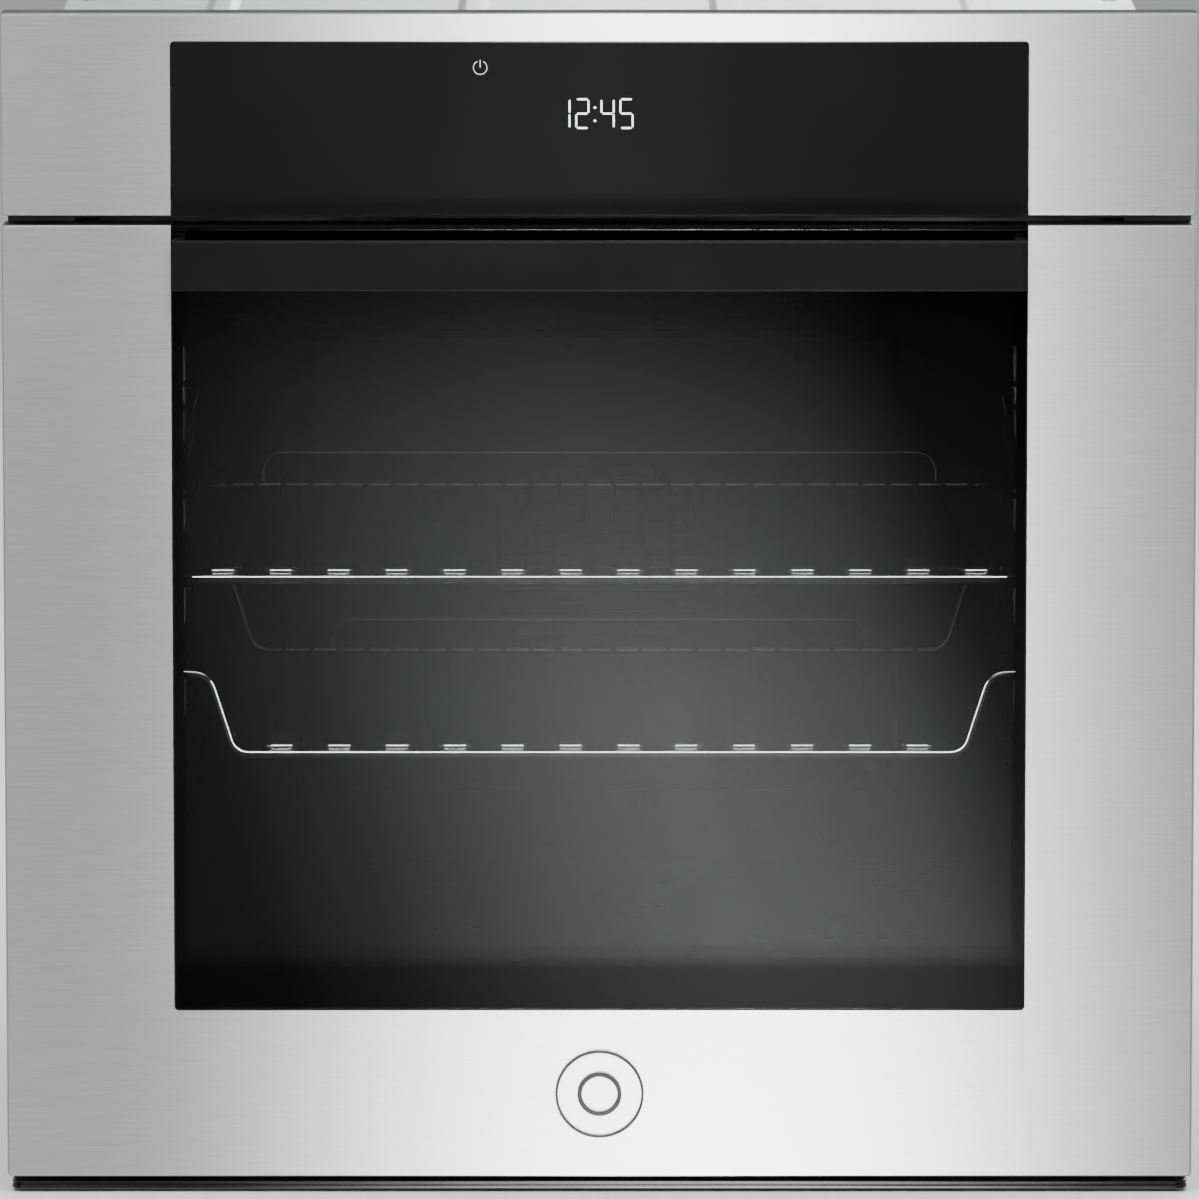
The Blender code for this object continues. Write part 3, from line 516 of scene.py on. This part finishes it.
def filleted(points, radius, steps=5, closed=False):
    """A path through the points, with its corners rounded."""
    points = [Vector(p) for p in points]
    path = []
    for i, corner in enumerate(points):
        if not closed and i in (0, len(points) - 1):
            path.append(tuple(corner))
            continue
        back = (points[i - 1] - corner).normalized()
        ahead = (points[(i + 1) % len(points)] - corner).normalized()
        half = back.angle(ahead) / 2
        centre = corner + (back + ahead).normalized() * (radius / math.sin(half))
        start = corner + back * (radius / math.tan(half)) - centre
        end = corner + ahead * (radius / math.tan(half)) - centre
        sweep = math.pi - 2 * half
        for k in range(steps + 1):
            share = k / steps
            spoke = start * math.sin((1 - share) * sweep) + end * math.sin(share * sweep)
            path.append(tuple(centre + spoke / math.sin(sweep)))
    return path


# --- stainless front ----------------------------------------------------------------------------
def steel_front():
    margin = 0.0004                     # gap round the glass
    past = 0.020                        # how far a cut runs past the sheet's edge
    front, behind = FACE - 0.01, FACE + 0.05
    half = GLASS_HALF + margin
    panel = folded_front("control_panel_front", PANEL_LOW, PANEL_HIGH,
                         Vector((-half, front, PANEL_LOW.z - past)),
                         Vector((half, behind, PANEL_GLASS[1].z + margin)))
    top = piece("control_panel_front", panel, "steel", "chassis", ("fascia_frame",))

    # The lower fold is cut back for the base's front edge, and slotted for each hinge arm.
    edge, below = SKIN_LOW.z, SKIN_LOW.z - 0.005
    base_top, beyond = edge + 0.0122, 0.31
    base_front, base_step, fold_end = FACE + 0.0100, FACE + 0.0202, FACE + 0.0300
    notches = [(-beyond, beyond, [(base_front, below), (base_front, edge), (base_step, base_top),
                                  (fold_end, base_top), (fold_end, below)])]
    arm_front, arm_rear, arm_top = FACE + 0.0017, FACE + 0.0120, edge + 0.003
    for side in SIDES:
        near, far = sorted((side * 0.2335, side * 0.2465))
        notches.append((near, far, [(arm_front, below), (arm_rear, below), (arm_rear, arm_top),
                                    (arm_front, arm_top)]))
    door = folded_front("door_front", SKIN_LOW, SKIN_HIGH,
                        Vector((-half, front, DOOR_GLASS[0].z - margin)),
                        Vector((half, behind, SKIN_HIGH.z + past)), notches)
    bottom = piece("door_front", door, "steel", "door", ("door_skin",))

    # Painted shade: the folds facing the gap between panel and door take a dark copy of the steel, and the
    # panel's top fold a dull dark grey as a painted dark reflection.
    painted_dark_folds = ((top, PANEL_LOW.z, "fold"), (bottom, SKIN_HIGH.z, "fold"), (top, PANEL_HIGH.z, "painted_dark_top_fold"))
    sheet, bend = 0.0016, 0.0013        # a little more than the sheet's thickness and its bend
    for obj, plane, look in painted_dark_folds:
        obj.data.materials.append(M[look])
        for face in obj.data.polygons:
            if abs(face.center.z - plane) < sheet and face.center.y > FACE + bend:
                face.material_index = len(obj.data.materials) - 1
    pane = rounded_box("control_glass", *PANEL_GLASS, 0.0004)
    piece("control_glass", pane, "panel_glass", "chassis", ("fascia_glass",))


def door_panes():
    low, high = DOOR_GLASS
    front_pane = rounded_box("door_front_glass", low, high, 0.0004)
    piece("door_front_glass", front_pane, "door_glass", "door", ("door_glass_outer",))

    # The black print behind the front glass: a frame round the clear window.
    gap, thick, through = 0.0002, 0.0004, 0.01
    half, bottom, top = 0.2086, low.z + 0.0215, 0.4700
    y = high.y + gap
    bm = bmesh.new()
    cube(bm, (low.x, y, low.z), (high.x, y + thick, high.z))
    window = cutter((-half, y - through, bottom), (half, y + through, top), 0.0015)
    mesh = carved(scratch("glass_print", bm), [window])
    piece("glass_print", mesh, "frit", "door")

    for node in ("door_glass_middle", "door_glass_inner"):
        piece(node + "_pane", rounded_box(node, *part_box(node), 0.0006), "clear", "door", (node,))


def handle():
    plate = rounded_box("handle_plate", *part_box("handle_bar"), 0.0010, 5)
    piece("handle_plate", plate, "handle", "door", ("handle_bar",))
    for side in SIDES.values():
        node = f"{side}_handle_bracket"
        piece(f"{side}_handle_post", rounded_box(node, *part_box(node), 0.0006), "cap", "door", (node,))


def ring(bm, centre, back, outer, inner, height, turns=96):
    """A thin ring standing on the steel, with softened edges."""
    soft = 0.0002
    profile = [(inner, 0.0), (inner, -height * 0.7), (inner + soft, -height), (outer - soft, -height),
               (outer, -height * 0.7), (outer, 0.0)]
    turn = [2 * math.pi * i / turns for i in range(turns)]
    loft(bm, [[(centre.x + r * math.cos(a), back + y, centre.z + r * math.sin(a)) for a in turn]
              for r, y in profile], caps=False)


def badge():
    """Two plain rings on the lower band of the door."""
    low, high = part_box("door_badge")
    centre, radius = (low + high) / 2, (high.x - low.x) / 2
    bm = bmesh.new()
    for outer, width in ((radius, 0.0013), (radius / 2, 0.0022)):
        ring(bm, centre, high.y, outer, outer - width, 0.0012)
    piece("door_ring_badge", from_bmesh("door_ring_badge", bm), "black", "door", ("door_badge",))


# --- display ------------------------------------------------------------------------------------
SEGMENTS = {"1": "bc", "2": "abged", "4": "fgbc", "5": "afgcd"}     # the bars that each digit lights


def stroke(bm, start, end, y, width, gap=0.0):
    """A flat lit bar between two (x, z) points, with pointed ends and a gap left at both."""
    a, b = (Vector((x, y, z)) for x, z in (start, end))
    along = (b - a).normalized()
    side = Vector((along.z, 0, -along.x)) * (width / 2)
    tip = along * (width / 2)
    a, b = a + along * gap, b - along * gap
    outline = [a, a + tip + side, b - tip + side, b, b - tip - side, a + tip - side]
    loft(bm, [outline, [p + Vector((0, 0.00008, 0)) for p in outline]])


def display():
    y = PANEL_GLASS[0].y - 0.00012
    top, height, width, line, gap = 0.5530, 0.0144, 0.0061, 0.0009, 0.0003
    middle, bottom = top - height / 2, top - height
    bm = bmesh.new()
    for text, x in (("1", -0.0210), ("2", -0.0116), ("4", 0.0010), ("5", 0.0104)):
        right = x + width
        ends = {"a": ((x, top), (right, top)), "g": ((x, middle), (right, middle)),
                "d": ((x, bottom), (right, bottom)), "f": ((x, top), (x, middle)),
                "e": ((x, middle), (x, bottom)), "b": ((right, top), (right, middle)),
                "c": ((right, middle), (right, bottom))}
        for key in SEGMENTS[text]:
            stroke(bm, *ends[key], y, line, gap)
    for z in (top - 0.0042, top - 0.0108):
        stroke(bm, (-0.0031, z), (-0.0015, z), y, 0.0014)
    piece("clock_digits", from_bmesh("clock_digits", bm), "glow", "chassis")

    # The power symbol: a ring that is open at the top, with a bar in the gap.
    x, z, radius, line = -0.0594, 0.5688, 0.0034, 0.00022
    first, sweep, steps = 90 + 24, 360 - 48, 32
    turns = [math.radians(first + sweep * i / steps) for i in range(steps + 1)]
    arc = [(x + radius * math.cos(a), z + radius * math.sin(a)) for a in turns]
    bm = bmesh.new()
    for start, end in zip(arc, arc[1:]):
        stroke(bm, start, end, y, line)
    stroke(bm, (x, z), (x, z + radius + 0.0005), y, line)
    piece("power_symbol", from_bmesh("power_symbol", bm), "glow", "chassis")


# --- racks and ladders --------------------------------------------------------------------------
THICK, THIN = 0.0025, 0.0016            # radius of the racks' two wires
PITCH = 0.01465                         # from one grid wire to the next
WELD = 0.0013                           # from the top of the thick wire up to the grid wires' centres
DROP_TOP, DROP_FOOT = 0.1982, 0.1850    # x at both ends of the lower rack's slope


def u_wires(count, z, near, far):
    """Hairpins of thin wire, side by side, with their bends in front."""
    paths = []
    for i in range(count):
        middle = (2 * i - count + 1) * PITCH
        a, b = middle - PITCH / 2, middle + PITCH / 2
        paths.append(filleted([(a, far, z), (a, near, z), (b, near, z), (b, far, z)], 0.0045, 5))
    return wire("grid", paths, THIN, sides=10)


def rear_guard(half, y, z, tall):
    """The low hoop that keeps dishes off the oven's back."""
    corners = [(-half, y, z), (-half, y, z + tall), (half, y, z + tall), (half, y, z)]
    return wire("rear", [filleted(corners, 0.010)], THIN)


def racks():
    bend_set, end_set = 0.0012, 0.0005  # how far the grid's bends and ends lie behind the outer wires
    low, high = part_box("upper_rack")
    half, near, far = high.x - THICK, low.y + THICK, high.y - THICK
    z = low.z + THICK
    corners = [(-half, near, z), (half, near, z), (half, far, z), (-half, far, z)]
    mesh = joined("upper_wire_rack", [
        wire("edge", [filleted(corners, 0.012, 6, closed=True)], THICK, cyclic=True),
        rear_guard(0.180, far, z, high.z - THIN - z),
        u_wires(14, z + THICK + WELD, near + bend_set, far + end_set)])
    piece("upper_wire_rack", mesh, "chrome", "upper_rack", ("upper_rack",))

    low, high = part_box("lower_rack")
    half, near, far = high.x - THICK, low.y + THICK, high.y - THICK
    z, floor = high.z - THICK, low.z + THICK
    shaped = []
    for y in (near, far):
        corners = [(-half, y, z), (-DROP_TOP, y, z), (-DROP_FOOT, y, floor), (DROP_FOOT, y, floor),
                   (DROP_TOP, y, z), (half, y, z)]
        shaped.append(filleted(corners, 0.010, 6))
    past = 0.0010                       # the rails run a little past the shaped wires
    rails = [[(side * half, near - past, z), (side * half, far + past, z)] for side in SIDES]
    mesh = joined("lower_dropped_rack", [
        wire("shaped", shaped, THICK), wire("rails", rails, THICK),
        rear_guard(0.143, far, floor, 0.0165),
        u_wires(12, floor + THICK + WELD, near + bend_set, far + end_set)])
    piece("lower_dropped_rack", mesh, "chrome", "lower_rack", ("lower_rack",))


def ladders():
    thick, thin, foot_wire = 0.0024, 0.0020, 0.0018
    lowest, step, pair, slant = 0.1553, 0.048, 0.0125, 0.016
    for side, name in SIDES.items():
        node = f"{name}_ladder"
        low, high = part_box(node)
        outer, inner = side * (max(abs(low.x), abs(high.x)) - thick), side * 0.2120
        near, far = low.y + thick, high.y - thick
        rails = []
        for level in range(5):
            for z in (lowest + level * step, lowest + pair + level * step):
                corners = [(outer, near, z), (inner, near + slant, z), (inner, far - slant, z),
                           (outer, far, z)]
                rails.append(filleted(corners, 0.006, 4))
        uprights = [[(outer, y, low.z), (outer, y, high.z)] for y in (near, far)]
        foot = [[(outer, near, low.z + 0.004), (outer, far, low.z + 0.004)]]
        mesh = joined(node + "_wires", [wire("rails", rails, thin), wire("uprights", uprights, thick),
                                        wire("foot", foot, foot_wire)])
        piece(node + "_wires", mesh, "chrome", "chassis", (node,))


def springs():
    coil_radius, wire_radius, turns, steps = 0.0044, 0.0008, 9, 24
    for side, name in SIDES.items():
        node = f"{name}_hinge_spring"
        low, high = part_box(node)
        x, y = side * 0.240, (low.y + high.y) / 2
        tall, rest = high.z - low.z, 0.0010
        path = []
        for i in range(turns * steps + 1):
            angle, share = 2 * math.pi * i / steps, i / (turns * steps)
            path.append((x + coil_radius * math.cos(angle), y + coil_radius * math.sin(angle),
                         low.z + rest + (tall - 2 * rest) * share))
        coil = piece(node + "_coil", wire(node, [path], wire_radius, sides=8), "spring", "door", (node,))
        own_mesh(coil)


# --- casing -------------------------------------------------------------------------------------
def facing(origin, across, up, out):
    """The place of a flat side: local x runs across it, y up it, and z out of it."""
    rows = Matrix((across, up, out)).transposed().to_4x4()
    return Matrix.Translation(origin) @ rows


def rounded(u0, v0, u1, v1, radius, steps=5):
    """The outline of a rectangle with round corners."""
    outline = []
    centres = ((u1 - radius, v1 - radius, 0), (u0 + radius, v1 - radius, 90),
               (u0 + radius, v0 + radius, 180), (u1 - radius, v0 + radius, 270))
    for u, v, first in centres:
        for i in range(steps + 1):
            angle = math.radians(first + 90 * i / steps)
            outline.append((u + radius * math.cos(angle), v + radius * math.sin(angle)))
    return outline


def beads(name, place, ribs, height=0.0022, slope=0.0055, steps=5):
    """Stiffening ribs, as pressed into sheet: soft shoulders and a flat crown."""
    bm = bmesh.new()
    for u0, v0, u1, v1, radius in ribs:
        loops = []
        for i in range(steps + 1):
            inset = slope * i / steps
            rise = height * (1 - math.cos(math.pi * i / steps)) / 2 - 0.0001
            outline = rounded(u0 + inset, v0 + inset, u1 - inset, v1 - inset, max(radius - inset, 0.0005))
            loops.append([place @ Vector((u, v, rise)) for u, v in outline])
        loft(bm, loops)
    piece(name, from_bmesh(name, bm, 50), "zinc", "chassis")


def column(u, low, high, half=0.007):
    """An upright rib with round ends."""
    return (u - half, low, u + half, high, half)


def row(v, low, high, half=0.007):
    """A level rib with round ends."""
    return (low, v - half, high, v + half, half)


# From the rim of a screw's head to the floor of its socket: share of the radius, share of the height.
HEAD = ((1.0, -0.0001), (1.0, 0.35), (0.93, 0.66), (0.78, 0.87), (0.55, 0.98), (0.0, 1.0), (0.0, 0.35))


def screws(name, spots, radius=0.0040, height=0.0021, look="screw", turns=36):
    """Pan-head screws. spots are (place matrix, u, v). A share of 0 stands for the six-lobed socket."""
    bm = bmesh.new()
    turn = [2 * math.pi * i / turns for i in range(turns)]
    for place, u, v in spots:
        loops = []
        for share, rise in HEAD:
            reach = [radius * (share or 0.40 * (1 + 0.14 * math.cos(6 * a))) for a in turn]
            loops.append([place @ Vector((u + r * math.cos(a), v + r * math.sin(a), rise * height))
                          for a, r in zip(turn, reach)])
        loft(bm, loops)
    piece(name, from_bmesh(name, bm, 40), look, "chassis")


def casing():
    """Ribs and screws on the sides, the back and the top, and the pieces at the oven's back."""
    low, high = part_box("right_side_panel")
    front, rear = low.y + 0.010, high.y - 0.010
    spots = []
    for side, name in SIDES.items():
        place = facing((side * high.x, 0, 0), (0, -side, 0), (0, 0, 1), (side, 0, 0))
        ends = sorted((side * 0.195, -side * 0.235))
        ribs = [column(-side * y, 0.100, 0.465, 0.008) for y in (-0.135, -0.025, 0.085, 0.195)]
        ribs += [row(z, *ends) for z in (0.052, 0.530)]
        beads(f"{name}_side_beads", place, ribs)
        spots += [(place, -side * y, z) for y in (front, 0.02, rear) for z in (0.026, 0.562)]
        spots += [(place, -side * y, 0.290) for y in (front, rear)]

    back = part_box("back_panel")[1].y
    place = facing((0, back, 0), (-1, 0, 0), (0, 0, 1), (0, 1, 0))
    ribs = [row(z, -0.245, 0.245) for z in (0.060, 0.100)] + [row(0.454, -0.020, 0.235)]
    ribs += [column(side * u, 0.140, 0.400) for side in SIDES for u in (0.165, 0.215)]
    beads("back_beads", place, ribs)
    spots += [(place, side * 0.268, z) for side in SIDES for z in (0.024, 0.200, 0.385, 0.560)]
    spots += [(place, u, z) for u in (-0.10, 0.10) for z in (0.024, 0.562)]

    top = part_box("top_cover")[1].z
    place = facing((0, 0, top), (1, 0, 0), (0, 1, 0), (0, 0, 1))
    beads("top_beads", place, [column(x, -0.190, 0.165, 0.009) for x in (-0.195, -0.065, 0.065, 0.195)])
    spots += [(place, side * 0.266, y) for side in SIDES for y in (-0.225, 0.02, 0.266)]
    spots += [(place, x, y) for x in (-0.09, 0.09) for y in (-0.232, 0.270)]
    screws("casing_screws", spots)
    outlet_blades(back)
    motor_cover()
    fan_guard()


def outlet_blades(back):
    """Slanted blades in the openings behind the blower: five openings, with six blades in each."""
    outside, inside = back + 0.0030, back - 0.0050
    bm = bmesh.new()
    for opening in range(5):
        x = 0.0603 + opening * 0.03
        for blade in range(6):
            z = 0.4712 + blade * 0.0098
            outline = [(outside, z), (outside, z + 0.0008), (inside, z + 0.0072), (inside, z + 0.0064)]
            prism(bm, outline, x, x + 0.0194)
    piece("outlet_blades", from_bmesh("outlet_blades", bm), "zinc", "chassis")


def motor_cover():
    """Pressed cover over the fan's motor, with two columns of nine slots."""
    low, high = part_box("rear_motor_cover")
    cover = pressing("motor_cover", low, high, high.y, corner=0.012, corner_steps=6, bend=0.0035,
                     sheet=0.0008)
    middle, through = (low.z + high.z) / 2, (high.y - 0.004, high.y + 0.004)
    bm = bmesh.new()
    for side in SIDES:
        for i in range(9):
            x, z = side * 0.045, middle + (i - 4) * 0.017
            outline = rounded(x - 0.028, z - 0.0022, x + 0.028, z + 0.0022, 0.0021, 3)
            loft(bm, [[(u, y, v) for u, v in outline] for y in through])
    mesh = carved(cover, [scratch("slots", bm)], 30)
    piece("motor_cover_pressing", mesh, "zinc", "chassis", ("rear_motor_cover",))


def fan_guard():
    """Screws that hold the fan's cover to the cavity's back."""
    low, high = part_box("fan_cover")
    place = facing((0, low.y, 0), (1, 0, 0), (0, 0, 1), (0, -1, 0))
    inset = 0.014
    spots = [(place, side * (high.x - inset), z) for side in SIDES for z in (low.z + inset, high.z - inset)]
    screws("fan_cover_screws", spots, 0.0036, 0.0018, "fan")


def bottom_trim():
    """Dark strip below the door: two rolled ridges with a groove between, and rounded ends."""
    low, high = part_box("bottom_trim")
    radius, steps = 0.0060, 8
    centre = Vector((low.x + radius, low.y + radius))
    path = [(Vector((low.x, high.y)), Vector((-1, 0)))]
    for i in range(steps + 1):
        angle = math.pi / 2 * i / steps
        out = Vector((-math.cos(angle), -math.sin(angle)))
        path.append((centre + out * radius, out))
    path += [(Vector((-spot.x, spot.y)), Vector((-out.x, out.y))) for spot, out in reversed(path)]
    tall = high.z - low.z
    # The strip's section from top to bottom: distance outward, share of the height.
    section = [(-0.0009, 1.0), (-0.0003, 0.965), (0.0, 0.88), (0.0, 0.78), (-0.0002, 0.70), (-0.0008, 0.63),
               (-0.0008, 0.56), (-0.0002, 0.49), (0.0, 0.40), (0.0, 0.18), (-0.0003, 0.06), (-0.0010, 0.0)]
    bm = bmesh.new()
    loft(bm, [[(*(spot + out * distance), low.z + share * tall) for spot, out in path]
              for distance, share in section])
    mesh = from_bmesh("bottom_trim_strip", bm, 40)
    piece("bottom_trim_strip", mesh, "trim", "chassis", ("bottom_trim",))


# --- light, floor, camera -----------------------------------------------------------------------
LOW_CARD, PANEL_CARD, HIGH_CARD, FLOOR_CARD = 1.45, 0.33, 16.0, 19.0     # how strongly each card glows
AIM = (0, 0, 0.3)                       # what most of the lights point at


def flat_mesh(name, corners):
    bm = bmesh.new()
    bm.faces.new([bm.verts.new(p) for p in corners])
    mesh = bpy.data.meshes.new(name)
    bm.to_mesh(mesh)
    bm.free()
    return mesh


def card(name, low, high, strength, across, upward, lean=0.0):
    """A glowing upright card in front of the oven, seen only in reflections and through glass. across and
    upward are its brightness from edge to edge, as (position, level) stops. lean slants the pattern."""
    mesh = flat_mesh(name, (low, (high[0], low[1], low[2]), high, (low[0], low[1], high[2])))
    obj = bpy.data.objects.new(name, mesh)
    bpy.context.scene.collection.objects.link(obj)
    n = Nodes(name)
    split = n.add("ShaderNodeSeparateXYZ", {"Vector": n.place()})
    x, z = split.outputs["X"], split.outputs["Z"]
    slanted = n.add("ShaderNodeMath", {0: z, 1: lean, 2: x}, operation="MULTIPLY_ADD").outputs[0]
    levels = []
    for place, start, end, stops in ((slanted, low[0], high[0], across), (z, low[2], high[2], upward)):
        share = n.add("ShaderNodeMapRange", {"Value": place, "From Min": start, "From Max": end})
        levels.append(n.ramp(share.outputs["Result"], stops))
    both = n.add("ShaderNodeMix", {6: levels[0], 7: levels[1], 0: 1.0}, data_type="RGBA",
                 blend_type="MULTIPLY")
    light = n.add("ShaderNodeEmission", {"Color": both.outputs[2], "Strength": strength})
    n.tree.links.new(light.outputs[0], n.tree.nodes["Material Output"].inputs["Surface"])
    mesh.materials.append(n.material)
    obj.visible_camera = False
    obj.visible_shadow = False
    return obj


def area(name, place, aim, size, power, along=None):
    """A light of that size in metres and power in watts, which points at aim. along is the direction of
    its first side."""
    light = bpy.data.lights.new(name, "AREA")
    light.shape = "RECTANGLE"
    light.size, light.size_y = size
    light.energy = power
    obj = bpy.data.objects.new(name, light)
    obj.location = place
    obj.rotation_mode = "QUATERNION"
    back = (Vector(place) - Vector(aim)).normalized()
    if along is None:
        obj.rotation_quaternion = (-back).to_track_quat("-Z", "Y")
    else:
        side = (along - back * along.dot(back)).normalized()
        obj.rotation_quaternion = Matrix((side, back.cross(side), back)).transposed().to_quaternion()
    bpy.context.scene.collection.objects.link(obj)
    return obj


def studio_floor():
    half, z = 8, GROUND - 0.0006
    mesh = flat_mesh("studio_floor", ((-half, -half, z), (half, -half, z), (half, half, z), (-half, half, z)))
    floor = bpy.data.objects.new("studio_floor", mesh)
    bpy.context.scene.collection.objects.link(floor)
    n = Nodes("pale_floor")
    n.set(Base_Color=n.ramp(n.noise(3), [(0.3, grey(0.72)), (0.7, grey(0.76))]), Roughness=0.6)
    mesh.materials.append(n.material)
    floor.visible_glossy = False
    floor.visible_transmission = False


def surroundings():
    """Dim in front of the oven, where the cards light it, and brighter beside and behind it."""
    world = bpy.data.worlds.new("studio")
    bpy.context.scene.world = world
    world.use_nodes = True
    tree = world.node_tree
    back = tree.nodes["Background"]
    back.inputs["Color"].default_value = (0.90, 0.91, 0.92, 1)
    toward = tree.nodes.new("ShaderNodeTexCoord")
    split = tree.nodes.new("ShaderNodeSeparateXYZ")
    share = tree.nodes.new("ShaderNodeMapRange")
    share.interpolation_type = "SMOOTHSTEP"
    for key, value in (("From Min", -0.75), ("From Max", 0.1), ("To Min", 0.16), ("To Max", 0.62)):
        share.inputs[key].default_value = value
    tree.links.new(toward.outputs["Generated"], split.inputs[0])
    tree.links.new(split.outputs["Y"], share.inputs["Value"])
    tree.links.new(share.outputs["Result"], back.inputs["Strength"])


def cards():
    """What the steel and the glass mirror: a bright window with soft edges, in four bands."""
    half, y = 0.9, FACE - 1.0
    window = [(0.0, 0.05), (0.342, 0.07), (0.385, 0.10), (0.425, 0.27), (0.479, 0.70), (0.512, 0.92),
              (0.537, 1.0), (0.567, 0.90), (0.595, 0.73), (0.610, 0.61), (0.631, 0.32), (0.647, 0.14),
              (0.717, 0.04), (1.0, 0.03)]
    upward = [(0.0, 0.55), (0.119, 0.62), (0.129, 1.0), (0.202, 1.0), (0.317, 0.98), (0.432, 0.92),
              (0.524, 0.78), (0.659, 0.57), (0.775, 0.34), (0.877, 0.14), (1.0, 0.06)]
    card("low_card", (-half, y, -0.12), (half, y, 0.3955), LOW_CARD, window, upward, lean=0.30)
    panel = [(0.0, 0.30), (0.38, 0.36), (0.435, 0.60), (0.5, 1.0), (0.565, 0.62), (0.62, 0.30), (1.0, 0.22)]
    even = [(0.0, 1.0), (1.0, 1.0)]
    card("panel_card", (-half, y, 0.3965), (half, y, 0.54), PANEL_CARD, panel, even)
    below = [(0.0, 0.05), (0.241, 0.07), (0.318, 0.045), (0.365, 0.02), (0.400, 0.10), (0.435, 0.27),
             (0.487, 0.82), (0.539, 1.0), (0.578, 0.94), (0.622, 0.38), (0.668, 0.055), (0.759, 0.03),
             (1.0, 0.02)]
    above = [(0.0, 0.08), (0.241, 0.10), (0.318, 0.055), (0.365, 0.03), (0.403, 0.07), (0.435, 0.18),
             (0.487, 0.74), (0.539, 1.0), (0.578, 0.70), (0.598, 0.38), (0.622, 0.13), (0.645, 0.04),
             (0.668, 0.02), (0.700, 0.05), (1.0, 0.05)]
    for name, low, high, strength, steel in (("floor_card", -1.5, -0.14, FLOOR_CARD, below),
                                             ("high_card", 0.56, 2.4, HIGH_CARD, above)):
        made = card(name, (-half, y, low), (half, y, high), strength, steel, even)
        made.visible_transmission = False


def lamps():
    """The lights outside the oven."""
    area("key", (-1.2, -2.2, 2.4), AIM, (1.6, 1.2), 18)
    area("fill", (2.2, -1.6, 1.6), AIM, (1.4, 1.4), 10)
    top = area("top", (0, 0.2, 2.6), AIM, (2.6, 2.6), 90)
    top.visible_glossy = False
    floor_light = area("floor_light", (0, -1.4, 2.4), (0, -1.2, 0), (2.6, 1.6), 60)
    floor_light.visible_glossy = False
    area("rear", (0.6, 2.6, 1.6), AIM, (1.6, 1.6), 35)


def inside_lights():
    """Faint light in the cavity, and narrow strips close to the front wires that light only the racks."""
    upper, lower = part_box("upper_rack"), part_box("lower_rack")
    cavity = area("cavity_light", (0, CAVITY_MOUTH + 0.006, 0.405), (0, 0.10, 0.16), (0.42, 0.02), 0.05)
    strips = []
    strip, reach, ahead = 0.008, 0.0170, Vector((0, -0.0080, 0))
    for name, rack, width in (("upper", upper[0], 0.430), ("lower", lower[0], 0.40)):
        front = Vector((0, rack.y + THICK, rack.z + 2 * THICK))
        place = front + Vector((0, 0, reach)) + ahead
        strips.append(area(f"{name}_wire_light", place, front, (width, strip), 0.15))
    low, high = lower
    for side, name in SIDES.items():
        slope = Vector((side * (DROP_TOP - DROP_FOOT), 0, high.z - low.z - 2 * THICK)).normalized()
        middle = Vector((side * (DROP_TOP + DROP_FOOT) / 2, low.y + THICK, (low.z + high.z) / 2))
        place = middle + Vector((-side * slope.z, 0, side * slope.x)) * reach + ahead
        strips.append(area(f"{name}_slope_light", place, middle, (0.044, strip), 0.020, slope))
    racks_only = bpy.data.collections.new("racks_only")
    for title in ("upper_wire_rack", "lower_dropped_rack"):
        racks_only.objects.link(bpy.data.objects[title])
    for light in strips:
        light.data.spread = math.radians(90)
        light.light_linking.receiver_collection = racks_only
    for light in (cavity, *strips):
        light.visible_transmission = False
        light.visible_camera = False


def camera():
    data = bpy.data.cameras.new("camera")
    obj = bpy.data.objects.new("camera", data)
    bpy.context.scene.collection.objects.link(obj)
    aim, far, pitch = Vector((0, FACE, 0.3015)), 6.0, math.radians(8)
    view_width = 0.6005                 # at the distance of the oven's front
    obj.location = aim + Vector((0, -math.cos(pitch), math.sin(pitch))) * far
    obj.rotation_euler = (math.pi / 2 - pitch, 0, 0)
    data.sensor_width = 36
    data.lens = data.sensor_width * far / view_width
    data.clip_start, data.clip_end = 0.05, 60
    bpy.context.scene.camera = obj


steel_front()
door_panes()
handle()
badge()
display()
racks()
ladders()
springs()
casing()
bottom_trim()
studio_floor()
surroundings()
cards()
inside_lights()
lamps()
camera()
